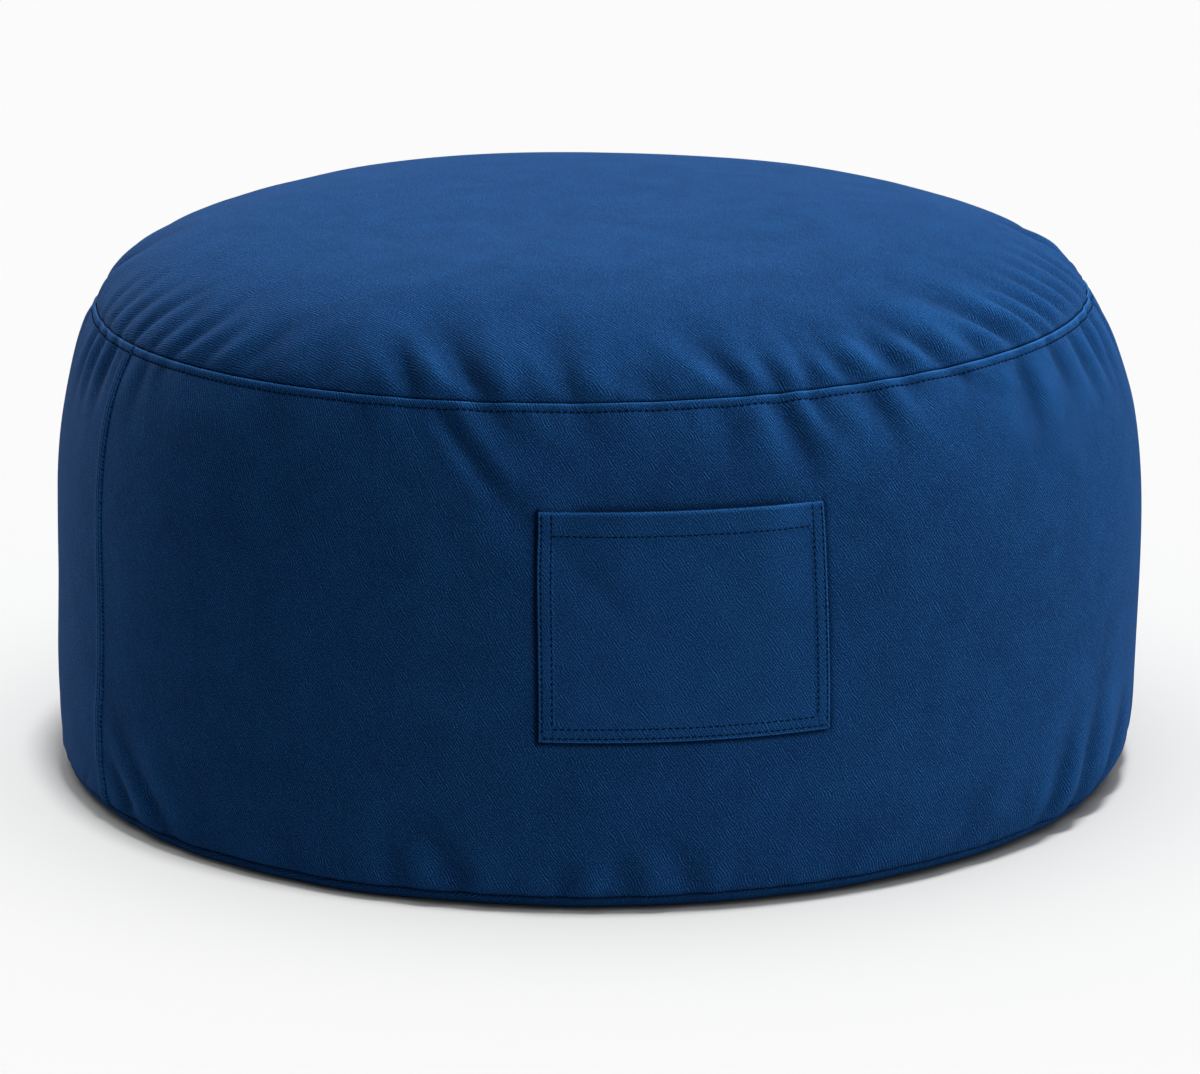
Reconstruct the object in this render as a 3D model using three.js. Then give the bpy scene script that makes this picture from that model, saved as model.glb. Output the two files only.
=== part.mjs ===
// A giant bean bag: a low, round, tightly filled floor cushion of heavy cotton twill. A round top
// and a round base are sewn to a wall of two lengths of cloth, and a patch pocket sits on the wall.
// Millimetres, +Z up. The origin is on the floor under the middle of the base. The pocket faces -Y,
// and angles are turned from -Y towards +X.

import * as THREE from 'three';

// Outline of the filled bag
const BULGE_RADIUS = 500;
const BULGE_HEIGHT = 150;
const FLOOR_RADIUS = 459.5;
const TOP_SEAM_RADIUS = 452.2;
const TOP_SEAM_HEIGHT = 433.3;
const BAG_HEIGHT = 522.8;
const BASE_SEAM_HEIGHT = 12.3;
const FOOT_ROUNDNESS = 3.86;
const WALL_ROUNDNESS = 3.75;
const CROWN_FLATNESS = 3.78;
const CROWN_LIFT = 0.68;

// Top seam: the wall's folded edge, topstitched over the top panel
const LAP_HEIGHT = 8;
const LAP_PROUD = 2.2;
const LAP_FOOT = 2;
const TOP_GROOVE_AT = 2.2;
const TOP_GROOVE_DEPTH = 2.6;
const TOP_GROOVE_WIDTH = 5;

// Base seam
const BASE_GROOVE_DEPTH = 2.4;
const BASE_GROOVE_WIDTH = 7;

// Upright lapped seams where the two lengths of the wall meet
const SIDE_SEAMS = [-70.4, 109.6];
const SIDE_LAP_WIDTH = 12;
const SIDE_LAP_PROUD = 1.8;
const SIDE_LAP_EDGE = 2;

// Patch pocket: its edges on the wall, as an angle each side of -Y and distances below the top seam
const POCKET_HALF_ANGLE = 14.3;
const POCKET_HEM = 20.5;
const POCKET_TURNED_EDGE = 11;
const POCKET_ROWS = [-288, -277, -247, -216, -185, -154, -133, -112.5, -92];
const POCKET_FOOT = POCKET_ROWS[0];
const POCKET_MOUTH = POCKET_ROWS[POCKET_ROWS.length - 1];
const POCKET_COLUMN_STEP = 1.5;
const POCKET_CLOTH = 2;
const POCKET_DOUBLED_CLOTH = 3;
const SEWN_GAP = 0.35;
const MOUTH_GAPE = 13;
const GAPE_DEPTH = 150;
const GAPE_FALL = 1.6;
const GAPE_CENTRE = 0.15;
const GAPE_START = 0.06;
const GAPE_FULL = 0.62;

// Folds. angle: where the fold starts, in degrees. reach: how far it runs from its seam. width:
// half the width of its trough at the seam. depth: how deep it is. lean: degrees it turns on its way.
const TOP_FOLDS = [
  { angle: -84, reach: 70, width: 13, depth: 3.4, lean: 3 },
  { angle: -77.5, reach: 62, width: 12, depth: 3.2, lean: 3.6 },
  { angle: -71.5, reach: 66, width: 13, depth: 4.6, lean: 4.5 },
  { angle: -65, reach: 52, width: 12, depth: 4.4, lean: 5 },
  { angle: -59, reach: 58, width: 13, depth: 4, lean: 5 },
  { angle: -47, reach: 50, width: 18, depth: 1.6, lean: 2 },
  { angle: -38, reach: 60, width: 19, depth: 1.8, lean: -2 },
  { angle: -29, reach: 76, width: 15, depth: 4.6, lean: -4.6 },
  { angle: -20.4, reach: 112, width: 18, depth: 8.2, lean: -9 },
  { angle: -15, reach: 66, width: 12, depth: 3.4, lean: -2.4 },
  { angle: -10.6, reach: 98, width: 13, depth: 4, lean: -2 },
  { angle: -2.5, reach: 60, width: 17, depth: 2.4, lean: -1 },
  { angle: 8, reach: 96, width: 14, depth: 5.2, lean: -5.6 },
  { angle: 12, reach: 70, width: 12, depth: 4.6, lean: -2 },
  { angle: 16, reach: 76, width: 12, depth: 3.6, lean: -1.2 },
  { angle: 20.4, reach: 70, width: 13, depth: 4, lean: -1.4 },
  { angle: 27, reach: 74, width: 14, depth: 5.2, lean: -1.8 },
  { angle: 33.4, reach: 98, width: 15, depth: 5.4, lean: -7.6 },
  { angle: 40, reach: 60, width: 14, depth: 2, lean: -3 },
  { angle: 46.6, reach: 108, width: 17, depth: 7.6, lean: -10 },
  { angle: 51.8, reach: 80, width: 11, depth: 3.4, lean: -5.4 },
  { angle: 56.6, reach: 92, width: 12, depth: 3.8, lean: -6 },
  { angle: 61.6, reach: 98, width: 12, depth: 4, lean: -4.6 },
  { angle: 67, reach: 100, width: 13, depth: 4.4, lean: -2.6 },
  { angle: 74, reach: 96, width: 13, depth: 4, lean: 1 },
];

const WALL_FOLDS = [
  { angle: -83.6, reach: 96, width: 13, depth: 3, lean: -1.6 },
  { angle: -76, reach: 88, width: 12, depth: 3.2, lean: -0.6 },
  { angle: -70.6, reach: 84, width: 12, depth: 3, lean: 0.4 },
  { angle: -63, reach: 70, width: 17, depth: 1.8, lean: 2 },
  { angle: -44, reach: 70, width: 19, depth: 1.6, lean: 2 },
  { angle: -34, reach: 74, width: 16, depth: 2, lean: 3 },
  { angle: -19, reach: 54, width: 13, depth: 2, lean: 4 },
  { angle: -9, reach: 62, width: 17, depth: 1.8, lean: 1 },
  { angle: 5.6, reach: 84, width: 13, depth: 3.4, lean: 0 },
  { angle: 11.4, reach: 96, width: 14, depth: 5.4, lean: 3 },
  { angle: 15, reach: 56, width: 11, depth: 2.4, lean: 2.6 },
  { angle: 22.2, reach: 84, width: 14, depth: 4.6, lean: 2.4 },
  { angle: 34, reach: 46, width: 15, depth: 2.6, lean: 7 },
  { angle: 45.2, reach: 112, width: 15, depth: 4.6, lean: -1.6 },
  { angle: 54.2, reach: 84, width: 13, depth: 3.4, lean: 0 },
  { angle: 61.4, reach: 88, width: 13, depth: 3.6, lean: 2.6 },
  { angle: 68, reach: 112, width: 14, depth: 4.2, lean: -1.8 },
  { angle: 76, reach: 90, width: 13, depth: 3.4, lean: 0 },
];

const BASE_FOLDS = [
  { angle: -64, reach: 96, width: 15, depth: 3.6, lean: -7 },
  { angle: -57, reach: 150, width: 18, depth: 5, lean: -16 },
  { angle: -40, reach: 70, width: 18, depth: 1.6, lean: -2 },
  { angle: -28, reach: 74, width: 14, depth: 3.2, lean: -1.6 },
  { angle: -21.4, reach: 92, width: 15, depth: 4.4, lean: -5.4 },
  { angle: -11.6, reach: 50, width: 14, depth: 2.6, lean: 0 },
  { angle: -5, reach: 68, width: 13, depth: 2.8, lean: -2 },
  { angle: 1.6, reach: 84, width: 14, depth: 3.4, lean: -4 },
  { angle: 17, reach: 66, width: 18, depth: 1.6, lean: 2 },
  { angle: 31, reach: 74, width: 18, depth: 1.8, lean: 3 },
  { angle: 45, reach: 150, width: 15, depth: 4.2, lean: 6 },
  { angle: 51.6, reach: 190, width: 17, depth: 4.8, lean: 5 },
  { angle: 59, reach: 130, width: 15, depth: 3.6, lean: 7 },
  { angle: 70, reach: 100, width: 16, depth: 3, lean: 3 },
];

// Long creases on the wall, from one end to the other. below: distance below the top seam.
const CREASES = [
  { fromAngle: -25, fromBelow: 8, toAngle: -14, toBelow: 92, width: 12, depth: 4.4 },
  { fromAngle: -14.6, fromBelow: 86, toAngle: -6, toBelow: 180, width: 13, depth: 2.4 },
];

// Shape of one fold: pinned to part of its depth at the seam, full after this share of its reach,
// wider towards its end, and with a soft ridge on each side of its trough
const PINNED_DEPTH = 0.3;
const FULL_AFTER = 0.2;
const START_WIDTH = 0.8;
const WIDENING = 0.9;
const RIDGE_HEIGHT = 0.42;
const RIDGE_OFFSET = 1.7;
const CREASE_ENDS = { from: -0.08, full: 0.2, fading: 0.75, to: 1.08 };

// The hidden back has folds of the same kind, of mixed sizes. mix and lean vary by these shares.
const BACK_FROM = 82;
const BACK_TO = 270;
const BACK_FOLDS = 21;
const BACK_FOLD_SIZE = { reach: 84, width: 16, depth: 3.8, lean: 4 };
const BACK_FOLD_MIX = { place: 0.3, reach: 0.35, width: 0.15, depth: 0.5 };

// How the filling leans the bag as it rises. lean: shift along +X. tilt: how much higher the +X side is.
const LEANS = [
  { height: 0, lean: 0, tilt: 0 },
  { height: 42, lean: 6.5, tilt: 0 },
  { height: 190, lean: 8, tilt: 0 },
  { height: 330, lean: 6.5, tilt: 1 },
  { height: 433, lean: 1.5, tilt: 5.5 },
  { height: 500, lean: -3, tilt: 1 },
  { height: 523, lean: -11, tilt: 0 },
];

// Slow bulges and hollows of the filling in the wall. lobes: how many go round. They turn a little
// on their way up and die away towards the seams.
const SWELLS = [
  { lobes: 3, size: 2.2, turn: 20 },
  { lobes: 5, size: 1.5, turn: 75 },
  { lobes: 8, size: 0.9, turn: 10 },
];
const SWELL_RISE = 90;
const SWELL_MARGIN_BELOW = 120;
const SWELL_FADE_FROM = -110;
const SWELL_FADE_TO = -10;
// Slow hollows of the top panel. at: distance from the middle of the top.
const DIMPLES = [
  { angle: -60, at: 210, width: 120, depth: 4 },
  { angle: 28, at: 250, width: 90, depth: 3 },
  { angle: 150, at: 230, width: 130, depth: 4 },
];

// The relief dies away towards the flat base over this distance
const SETTLING = 24;

// Columns and rings of the bag's faces. at: distance from the top seam, negative down the wall.
const FRONT_STEP = 1.5;
const BACK_STEP = 3;
const FRONT_FROM = -96;
const FRONT_TO = 87;
const FINE = 1;
const HALF = 2;
const QUARTER = 4;
const RINGS = [
  { at: -449, columns: FINE },
  { at: -438, columns: FINE },
  { at: -430.8, columns: FINE },
  { at: -423, columns: FINE },
  { at: -408, columns: FINE },
  { at: -388, columns: FINE },
  { at: -360, columns: FINE },
  { at: -325, columns: HALF },
  ...POCKET_ROWS.map((at) => ({ at, columns: HALF })),
  { at: -64, columns: FINE },
  { at: -40, columns: FINE },
  { at: -22, columns: FINE },
  { at: -LAP_HEIGHT - LAP_FOOT, columns: FINE },
  { at: -LAP_HEIGHT, columns: FINE },
  { at: 0, columns: FINE },
  { at: TOP_GROOVE_AT, columns: FINE },
  { at: 7, columns: FINE },
  { at: 16, columns: FINE },
  { at: 30, columns: FINE },
  { at: 48, columns: FINE },
  { at: 70, columns: FINE },
  { at: 98, columns: HALF },
  { at: 135, columns: HALF },
  { at: 180, columns: HALF },
  { at: 235, columns: QUARTER },
  { at: 300, columns: QUARTER },
  { at: 375, columns: QUARTER },
];

const NAVY_TWILL = { color: 0x1d4678, roughness: 0.92, metalness: 0 };

const turn = (degrees) => THREE.MathUtils.degToRad(degrees);

// Round section of the bag, as points from the rim of its floor to the middle of its top

const OUTLINE_STEPS = 320;

function wallRadius(height) {
  if (height < BULGE_HEIGHT) {
    const drop = (BULGE_HEIGHT - height) / BULGE_HEIGHT;
    const curve = (1 - drop ** FOOT_ROUNDNESS) ** (1 / FOOT_ROUNDNESS);
    return FLOOR_RADIUS + (BULGE_RADIUS - FLOOR_RADIUS) * curve;
  }
  const rise = (height - BULGE_HEIGHT) / (TOP_SEAM_HEIGHT - BULGE_HEIGHT);
  return BULGE_RADIUS - (BULGE_RADIUS - TOP_SEAM_RADIUS) * rise ** WALL_ROUNDNESS;
}

function crownHeight(radius) {
  const curve = (1 - (radius / TOP_SEAM_RADIUS) ** CROWN_FLATNESS) ** CROWN_LIFT;
  return TOP_SEAM_HEIGHT + (BAG_HEIGHT - TOP_SEAM_HEIGHT) * curve;
}

function roundSection() {
  const points = [];
  for (let i = 0; i <= OUTLINE_STEPS; i += 1) {
    const height = TOP_SEAM_HEIGHT * (i / OUTLINE_STEPS) ** 2;
    points.push({ radius: wallRadius(height), height });
  }
  for (let i = 1; i <= OUTLINE_STEPS; i += 1) {
    const radius = TOP_SEAM_RADIUS * (1 - (i / OUTLINE_STEPS) ** 2);
    points.push({ radius, height: crownHeight(radius) });
  }
  points[0].at = 0;
  for (let i = 1; i < points.length; i += 1) {
    const step = Math.hypot(points[i].radius - points[i - 1].radius,
      points[i].height - points[i - 1].height);
    points[i].at = points[i - 1].at + step;
  }
  const seam = points[OUTLINE_STEPS].at;
  for (const point of points) point.at -= seam;
  return points;
}

const SECTION = roundSection();
const FLOOR_AT = SECTION[0].at;
const BASE_SEAM_AT = SECTION.find((point) => point.height >= BASE_SEAM_HEIGHT).at;

// A point of the section at a distance from the top seam: positive over the top, negative down the wall
function sectionAt(at) {
  const clamped = THREE.MathUtils.clamp(at, FLOOR_AT, SECTION[SECTION.length - 1].at);
  let i = 1;
  while (i < SECTION.length - 1 && SECTION[i].at < clamped) i += 1;
  const [low, high] = [SECTION[i - 1], SECTION[i]];
  const share = (clamped - low.at) / (high.at - low.at);
  return {
    radius: THREE.MathUtils.lerp(low.radius, high.radius, share),
    height: THREE.MathUtils.lerp(low.height, high.height, share),
  };
}

// Which way is outwards there, smoothed over the seams
const NORMAL_SPAN = 5;
function outwardsAt(at) {
  const below = sectionAt(at - NORMAL_SPAN);
  const above = sectionAt(at + NORMAL_SPAN);
  const run = Math.hypot(above.radius - below.radius, above.height - below.height);
  return {
    radial: (above.height - below.height) / run,
    up: (below.radius - above.radius) / run,
  };
}

// Folds, seams and the unevenness of the filling, as relief along the outward direction

function bell(x) {
  return Math.exp(-x * x);
}

function pleat(x) {
  return RIDGE_HEIGHT * (bell(x - RIDGE_OFFSET) + bell(x + RIDGE_OFFSET)) - bell(x);
}

function angleBetween(a, b) {
  return THREE.MathUtils.euclideanModulo(a - b + 180, 360) - 180;
}

// Strength of a fold along its reach
function fading(share) {
  const rising = PINNED_DEPTH + (1 - PINNED_DEPTH) * THREE.MathUtils.smoothstep(share, 0, FULL_AFTER);
  return rising * (1 - THREE.MathUtils.smoothstep(share, FULL_AFTER, 1));
}

function foldRelief(folds, angle, radius, distance) {
  let relief = 0;
  for (const fold of folds) {
    const share = distance / fold.reach;
    if (share < 0 || share >= 1) continue;
    const across = turn(angleBetween(angle, fold.angle + fold.lean * share)) * radius;
    const width = fold.width * (START_WIDTH + WIDENING * share);
    relief += fold.depth * fading(share) * pleat(across / width);
  }
  return relief;
}

function creaseRelief(angle, radius, below) {
  let relief = 0;
  for (const crease of CREASES) {
    const run = turn(crease.toAngle - crease.fromAngle) * radius;
    const drop = crease.toBelow - crease.fromBelow;
    const x = turn(angleBetween(angle, crease.fromAngle)) * radius;
    const y = below - crease.fromBelow;
    const length = Math.hypot(run, drop);
    const along = (x * run + y * drop) / length ** 2;
    const across = (x * drop - y * run) / length;
    const ends = THREE.MathUtils.smoothstep(along, CREASE_ENDS.from, CREASE_ENDS.full)
      * (1 - THREE.MathUtils.smoothstep(along, CREASE_ENDS.fading, CREASE_ENDS.to));
    relief += crease.depth * ends * pleat(across / crease.width);
  }
  return relief;
}

// Two waves out of step with the folds mix their sizes
function backFolds(shift) {
  const folds = [];
  for (let i = 0; i < BACK_FOLDS; i += 1) {
    const mix = Math.sin(i * 2.4 + shift);
    const other = Math.cos(i * 1.7 + shift * 3);
    folds.push({
      angle: BACK_FROM + (BACK_TO - BACK_FROM) * ((i + 0.5 + BACK_FOLD_MIX.place * mix) / BACK_FOLDS),
      reach: BACK_FOLD_SIZE.reach * (1 + BACK_FOLD_MIX.reach * other),
      width: BACK_FOLD_SIZE.width * (1 + BACK_FOLD_MIX.width * mix),
      depth: BACK_FOLD_SIZE.depth * (1 + BACK_FOLD_MIX.depth * mix),
      lean: BACK_FOLD_SIZE.lean * other,
    });
  }
  return folds;
}

const ALL_TOP_FOLDS = [...TOP_FOLDS, ...backFolds(0)];
const ALL_WALL_FOLDS = [...WALL_FOLDS, ...backFolds(1.3)];
const ALL_BASE_FOLDS = [...BASE_FOLDS, ...backFolds(2.6)];

function sideLapRelief(angle, radius, at) {
  if (at > 0 || at < BASE_SEAM_AT) return 0;
  let relief = 0;
  for (const seam of SIDE_SEAMS) {
    const across = -turn(angleBetween(angle, seam)) * radius;
    const rise = THREE.MathUtils.smoothstep(across, -SIDE_LAP_EDGE, 0);
    const fall = THREE.MathUtils.smoothstep(across, SIDE_LAP_WIDTH, SIDE_LAP_WIDTH + SIDE_LAP_EDGE);
    relief += SIDE_LAP_PROUD * rise * (1 - fall);
  }
  return relief;
}

function seamRelief(at) {
  const lap = at <= 0 && at >= -LAP_HEIGHT ? LAP_PROUD : 0;
  const topGroove = at > 0 ? TOP_GROOVE_DEPTH * bell((at - TOP_GROOVE_AT) / TOP_GROOVE_WIDTH) : 0;
  const baseGroove = BASE_GROOVE_DEPTH * bell((at - BASE_SEAM_AT) / BASE_GROOVE_WIDTH);
  return lap - topGroove - baseGroove;
}

function fillingRelief(angle, radius, at) {
  let relief = 0;
  const wallShare = THREE.MathUtils.smoothstep(at, BASE_SEAM_AT, BASE_SEAM_AT + SWELL_MARGIN_BELOW)
    * (1 - THREE.MathUtils.smoothstep(at, SWELL_FADE_FROM, SWELL_FADE_TO));
  for (const swell of SWELLS) {
    const phase = turn(swell.lobes * (angle - swell.turn)) + at / SWELL_RISE;
    relief += wallShare * swell.size * Math.sin(phase);
  }
  if (at > 0) {
    for (const dimple of DIMPLES) {
      const across = turn(angleBetween(angle, dimple.angle)) * radius;
      relief -= dimple.depth * bell(across / dimple.width) * bell((radius - dimple.at) / dimple.width);
    }
  }
  return relief;
}

function reliefAt(angle, at) {
  const { radius } = sectionAt(at);
  const settled = THREE.MathUtils.smoothstep(at, FLOOR_AT, FLOOR_AT + SETTLING);
  let relief = seamRelief(at) + sideLapRelief(angle, radius, at) + fillingRelief(angle, radius, at);
  if (at >= 0) relief += foldRelief(ALL_TOP_FOLDS, angle, radius, at);
  if (at <= 0) relief += foldRelief(ALL_WALL_FOLDS, angle, radius, -at) + creaseRelief(angle, radius, -at);
  if (at >= BASE_SEAM_AT) relief += foldRelief(ALL_BASE_FOLDS, angle, radius, at - BASE_SEAM_AT);
  return settled * relief;
}

function leanAt(height) {
  let i = 1;
  while (i < LEANS.length - 1 && LEANS[i].height < height) i += 1;
  const [low, high] = [LEANS[i - 1], LEANS[i]];
  const share = THREE.MathUtils.smoothstep(height, low.height, high.height);
  return {
    lean: THREE.MathUtils.lerp(low.lean, high.lean, share),
    tilt: THREE.MathUtils.lerp(low.tilt, high.tilt, share),
  };
}

// A point of the bag's surface, moved outwards by proud
function bagPoint(angle, at, proud = 0) {
  const { radius, height } = sectionAt(at);
  const out = outwardsAt(at);
  const relief = reliefAt(angle, at) + proud;
  const reach = radius + out.radial * relief;
  const { lean, tilt } = leanAt(height);
  const x = reach * Math.sin(turn(angle)) + lean;
  const y = -reach * Math.cos(turn(angle));
  const z = height + out.up * relief + tilt * (x / TOP_SEAM_RADIUS);
  return new THREE.Vector3(x, y, at <= FLOOR_AT ? 0 : z);
}

// Faces between two rings whose columns may differ, walking both by angle

function bandFaces(low, high, faces) {
  let i = 0;
  let j = 0;
  while (i < low.length - 1 || j < high.length - 1) {
    const stepLow = j === high.length - 1
      || (i < low.length - 1 && low[i + 1].angle <= high[j + 1].angle);
    if (stepLow) {
      faces.push(low[i].index, low[i + 1].index, high[j].index);
      i += 1;
    } else {
      faces.push(low[i].index, high[j + 1].index, high[j].index);
      j += 1;
    }
  }
}

function geometryOf(points, faces) {
  const geometry = new THREE.BufferGeometry();
  const positions = points.flatMap((point) => [point.x, point.y, point.z]);
  geometry.setAttribute('position', new THREE.Float32BufferAttribute(positions, 3));
  geometry.setIndex(faces);
  geometry.computeVertexNormals();
  return geometry;
}

// Columns of the pocket, its turned edges marked by columns of their own
function pocketAngles() {
  const edge = THREE.MathUtils.radToDeg(POCKET_TURNED_EDGE / BULGE_RADIUS);
  const inner = POCKET_HALF_ANGLE - edge;
  const angles = [-POCKET_HALF_ANGLE, -inner];
  const reach = Math.floor(inner / POCKET_COLUMN_STEP) * POCKET_COLUMN_STEP;
  for (let angle = -reach; angle <= reach; angle += POCKET_COLUMN_STEP) angles.push(angle);
  return [...angles, inner, POCKET_HALF_ANGLE];
}

// Columns of the bag: close together in front, and the pocket's own behind the pocket.
// every: 1 for a column of all rings down to one in four.
function bagColumns() {
  const columns = [];
  const add = (angle, every) => columns.push({ angle, every });
  const count = Math.round((FRONT_TO - FRONT_FROM) / FRONT_STEP);
  const backCount = Math.round((360 - FRONT_TO + FRONT_FROM) / BACK_STEP);
  const share = (i) => (i % QUARTER === 0 ? QUARTER : i % HALF === 0 ? HALF : FINE);
  for (let i = 0; i < count; i += 1) add(FRONT_FROM + i * FRONT_STEP, share(i));
  for (let i = 0; i < backCount; i += 1) add(FRONT_TO + i * BACK_STEP, share(i * 2));
  const clear = columns.filter((column) => Math.abs(column.angle) > POCKET_HALF_ANGLE);
  for (const angle of pocketAngles()) clear.push({ angle, every: HALF });
  return clear.sort((a, b) => a.angle - b.angle);
}

// Near a lapped seam the columns move to the edges of the lap
function withSideLaps(columns) {
  const edges = [-SIDE_LAP_WIDTH - SIDE_LAP_EDGE, -SIDE_LAP_WIDTH, 0, SIDE_LAP_EDGE];
  const kept = columns.filter((column) => SIDE_SEAMS.every((seam) => {
    const across = turn(angleBetween(column.angle, seam)) * BULGE_RADIUS;
    return across < edges.at(0) - SIDE_LAP_EDGE || across > edges.at(-1) + SIDE_LAP_EDGE;
  }));
  for (const seam of SIDE_SEAMS) {
    for (const edge of edges) {
      kept.push({ angle: seam + THREE.MathUtils.radToDeg(edge / BULGE_RADIUS), every: HALF });
    }
  }
  return kept.sort((a, b) => a.angle - b.angle);
}

function filledBag() {
  const columns = withSideLaps(bagColumns());
  const points = [new THREE.Vector3(0, 0, 0)];
  const rings = [{ at: FLOOR_AT, columns: FINE }, ...RINGS].map(({ at, columns: every }) => {
    const ring = columns.filter((column) => column.every >= every).map(({ angle }) => {
      points.push(bagPoint(angle, at));
      return { angle, index: points.length - 1 };
    });
    return [...ring, { angle: ring[0].angle + 360, index: ring[0].index }];
  });
  points.push(bagPoint(0, SECTION[SECTION.length - 1].at));
  const apex = points.length - 1;
  const faces = [];
  const floor = rings[0];
  for (let i = 0; i < floor.length - 1; i += 1) faces.push(0, floor[i + 1].index, floor[i].index);
  for (let i = 1; i < rings.length; i += 1) bandFaces(rings[i - 1], rings[i], faces);
  const top = rings[rings.length - 1];
  for (let i = 0; i < top.length - 1; i += 1) faces.push(top[i].index, top[i + 1].index, apex);
  return geometryOf(points, faces);
}

// Patch pocket: a sheet on the wall, sewn down on three edges and gaping at its mouth

function gapeAt(angle, at) {
  const side = THREE.MathUtils.clamp(angle / POCKET_HALF_ANGLE, -1, 1);
  const skewed = side < GAPE_CENTRE
    ? (side + 1) / (GAPE_CENTRE + 1)
    : (1 - side) / (1 - GAPE_CENTRE);
  const across = THREE.MathUtils.smoothstep(skewed, GAPE_START, GAPE_FULL);
  const down = 1 - THREE.MathUtils.clamp((POCKET_MOUTH - at) / GAPE_DEPTH, 0, 1);
  return MOUTH_GAPE * across * down ** GAPE_FALL;
}

function clothAt(angle, at) {
  const fromSide = turn(POCKET_HALF_ANGLE - Math.abs(angle)) * BULGE_RADIUS;
  const doubled = fromSide < POCKET_TURNED_EDGE + SEWN_GAP
    || at - POCKET_FOOT <= POCKET_TURNED_EDGE
    || POCKET_MOUTH - at <= POCKET_HEM;
  return doubled ? POCKET_DOUBLED_CLOTH : POCKET_CLOTH;
}

function pocketSkin(points, thickness) {
  return POCKET_ROWS.map((at) => pocketAngles().map((angle) => {
    const proud = SEWN_GAP + gapeAt(angle, at) + thickness * clothAt(angle, at);
    points.push(bagPoint(angle, at, proud));
    return { angle, index: points.length - 1 };
  }));
}

// A closed wall between matching edges of the two skins
function rimFaces(back, front, faces) {
  for (let i = 0; i < back.length - 1; i += 1) {
    faces.push(back[i].index, back[i + 1].index, front[i + 1].index);
    faces.push(back[i].index, front[i + 1].index, front[i].index);
  }
}

function patchPocket() {
  const points = [];
  const back = pocketSkin(points, 0);
  const front = pocketSkin(points, 1);
  const faces = [];
  const backFaces = [];
  for (let row = 1; row < POCKET_ROWS.length; row += 1) {
    bandFaces(front[row - 1], front[row], faces);
    bandFaces(back[row - 1], back[row], backFaces);
  }
  faces.push(...backFaces.reverse());
  const last = POCKET_ROWS.length - 1;
  const side = (skin, column) => skin.map((row) => row.at(column));
  rimFaces(back[0], front[0], faces);
  rimFaces(side(back, -1), side(front, -1), faces);
  rimFaces([...back[last]].reverse(), [...front[last]].reverse(), faces);
  rimFaces(side(back, 0).reverse(), side(front, 0).reverse(), faces);
  return geometryOf(points, faces);
}

function clothPiece(name, geometry) {
  const mesh = new THREE.Mesh(geometry, new THREE.MeshStandardMaterial(NAVY_TWILL));
  mesh.name = name;
  return mesh;
}

const beanBag = new THREE.Group();
beanBag.add(clothPiece('filled_bag', filledBag()));
beanBag.add(clothPiece('patch_pocket', patchPocket()));

export default beanBag;
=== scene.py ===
# A giant bean bag of navy cotton twill on a plain studio floor. Shapes are worked out in millimetres
# and degrees, and MM turns lengths into Blender's metres.

import math
from collections import namedtuple
from functools import cache

import bpy
import numpy as np
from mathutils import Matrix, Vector


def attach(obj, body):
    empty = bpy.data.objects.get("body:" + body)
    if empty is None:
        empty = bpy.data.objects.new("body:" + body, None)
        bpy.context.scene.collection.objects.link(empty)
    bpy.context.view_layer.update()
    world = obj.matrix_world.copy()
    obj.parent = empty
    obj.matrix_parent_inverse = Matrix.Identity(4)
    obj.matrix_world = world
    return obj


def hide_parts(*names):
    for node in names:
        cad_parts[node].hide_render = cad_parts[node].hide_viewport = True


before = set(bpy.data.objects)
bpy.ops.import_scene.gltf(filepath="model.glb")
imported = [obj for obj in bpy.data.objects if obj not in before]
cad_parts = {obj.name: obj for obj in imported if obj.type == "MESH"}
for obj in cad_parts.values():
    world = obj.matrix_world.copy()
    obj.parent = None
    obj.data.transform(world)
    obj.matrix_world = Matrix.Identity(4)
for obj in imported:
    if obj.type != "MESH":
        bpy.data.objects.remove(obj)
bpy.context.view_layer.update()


# Filled bag. A round top panel and a round base panel of heavy cotton twill are sewn to a wall of
# two lengths of the same cloth, and beads fill it tight. The seams hold the cloth back, so it lies
# in short folds beside them, and the filling leans it a little as it settles.

MM = 0.001
BULGE_RADIUS = 500
BULGE_HEIGHT = 150
FLOOR_RADIUS = 459.5
TOP_SEAM_RADIUS = 452.2
TOP_SEAM_HEIGHT = 433.3
BAG_HEIGHT = 522.8
BASE_SEAM_HEIGHT = 12.3
FOOT_ROUNDNESS = 3.86
WALL_ROUNDNESS = 3.75
CROWN_FLATNESS = 3.78
CROWN_LIFT = 0.68
OUTLINE_STEPS = 320


def wall_radius(height):
    drop = np.clip((BULGE_HEIGHT - height) / BULGE_HEIGHT, 0, 1)
    foot = (1 - drop ** FOOT_ROUNDNESS) ** (1 / FOOT_ROUNDNESS)
    rise = np.clip((height - BULGE_HEIGHT) / (TOP_SEAM_HEIGHT - BULGE_HEIGHT), 0, 1)
    drawn_in = (BULGE_RADIUS - TOP_SEAM_RADIUS) * rise ** WALL_ROUNDNESS
    return FLOOR_RADIUS + (BULGE_RADIUS - FLOOR_RADIUS) * foot - drawn_in


def crown_height(radius):
    curve = (1 - (radius / TOP_SEAM_RADIUS) ** CROWN_FLATNESS) ** CROWN_LIFT
    return TOP_SEAM_HEIGHT + (BAG_HEIGHT - TOP_SEAM_HEIGHT) * curve


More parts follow.
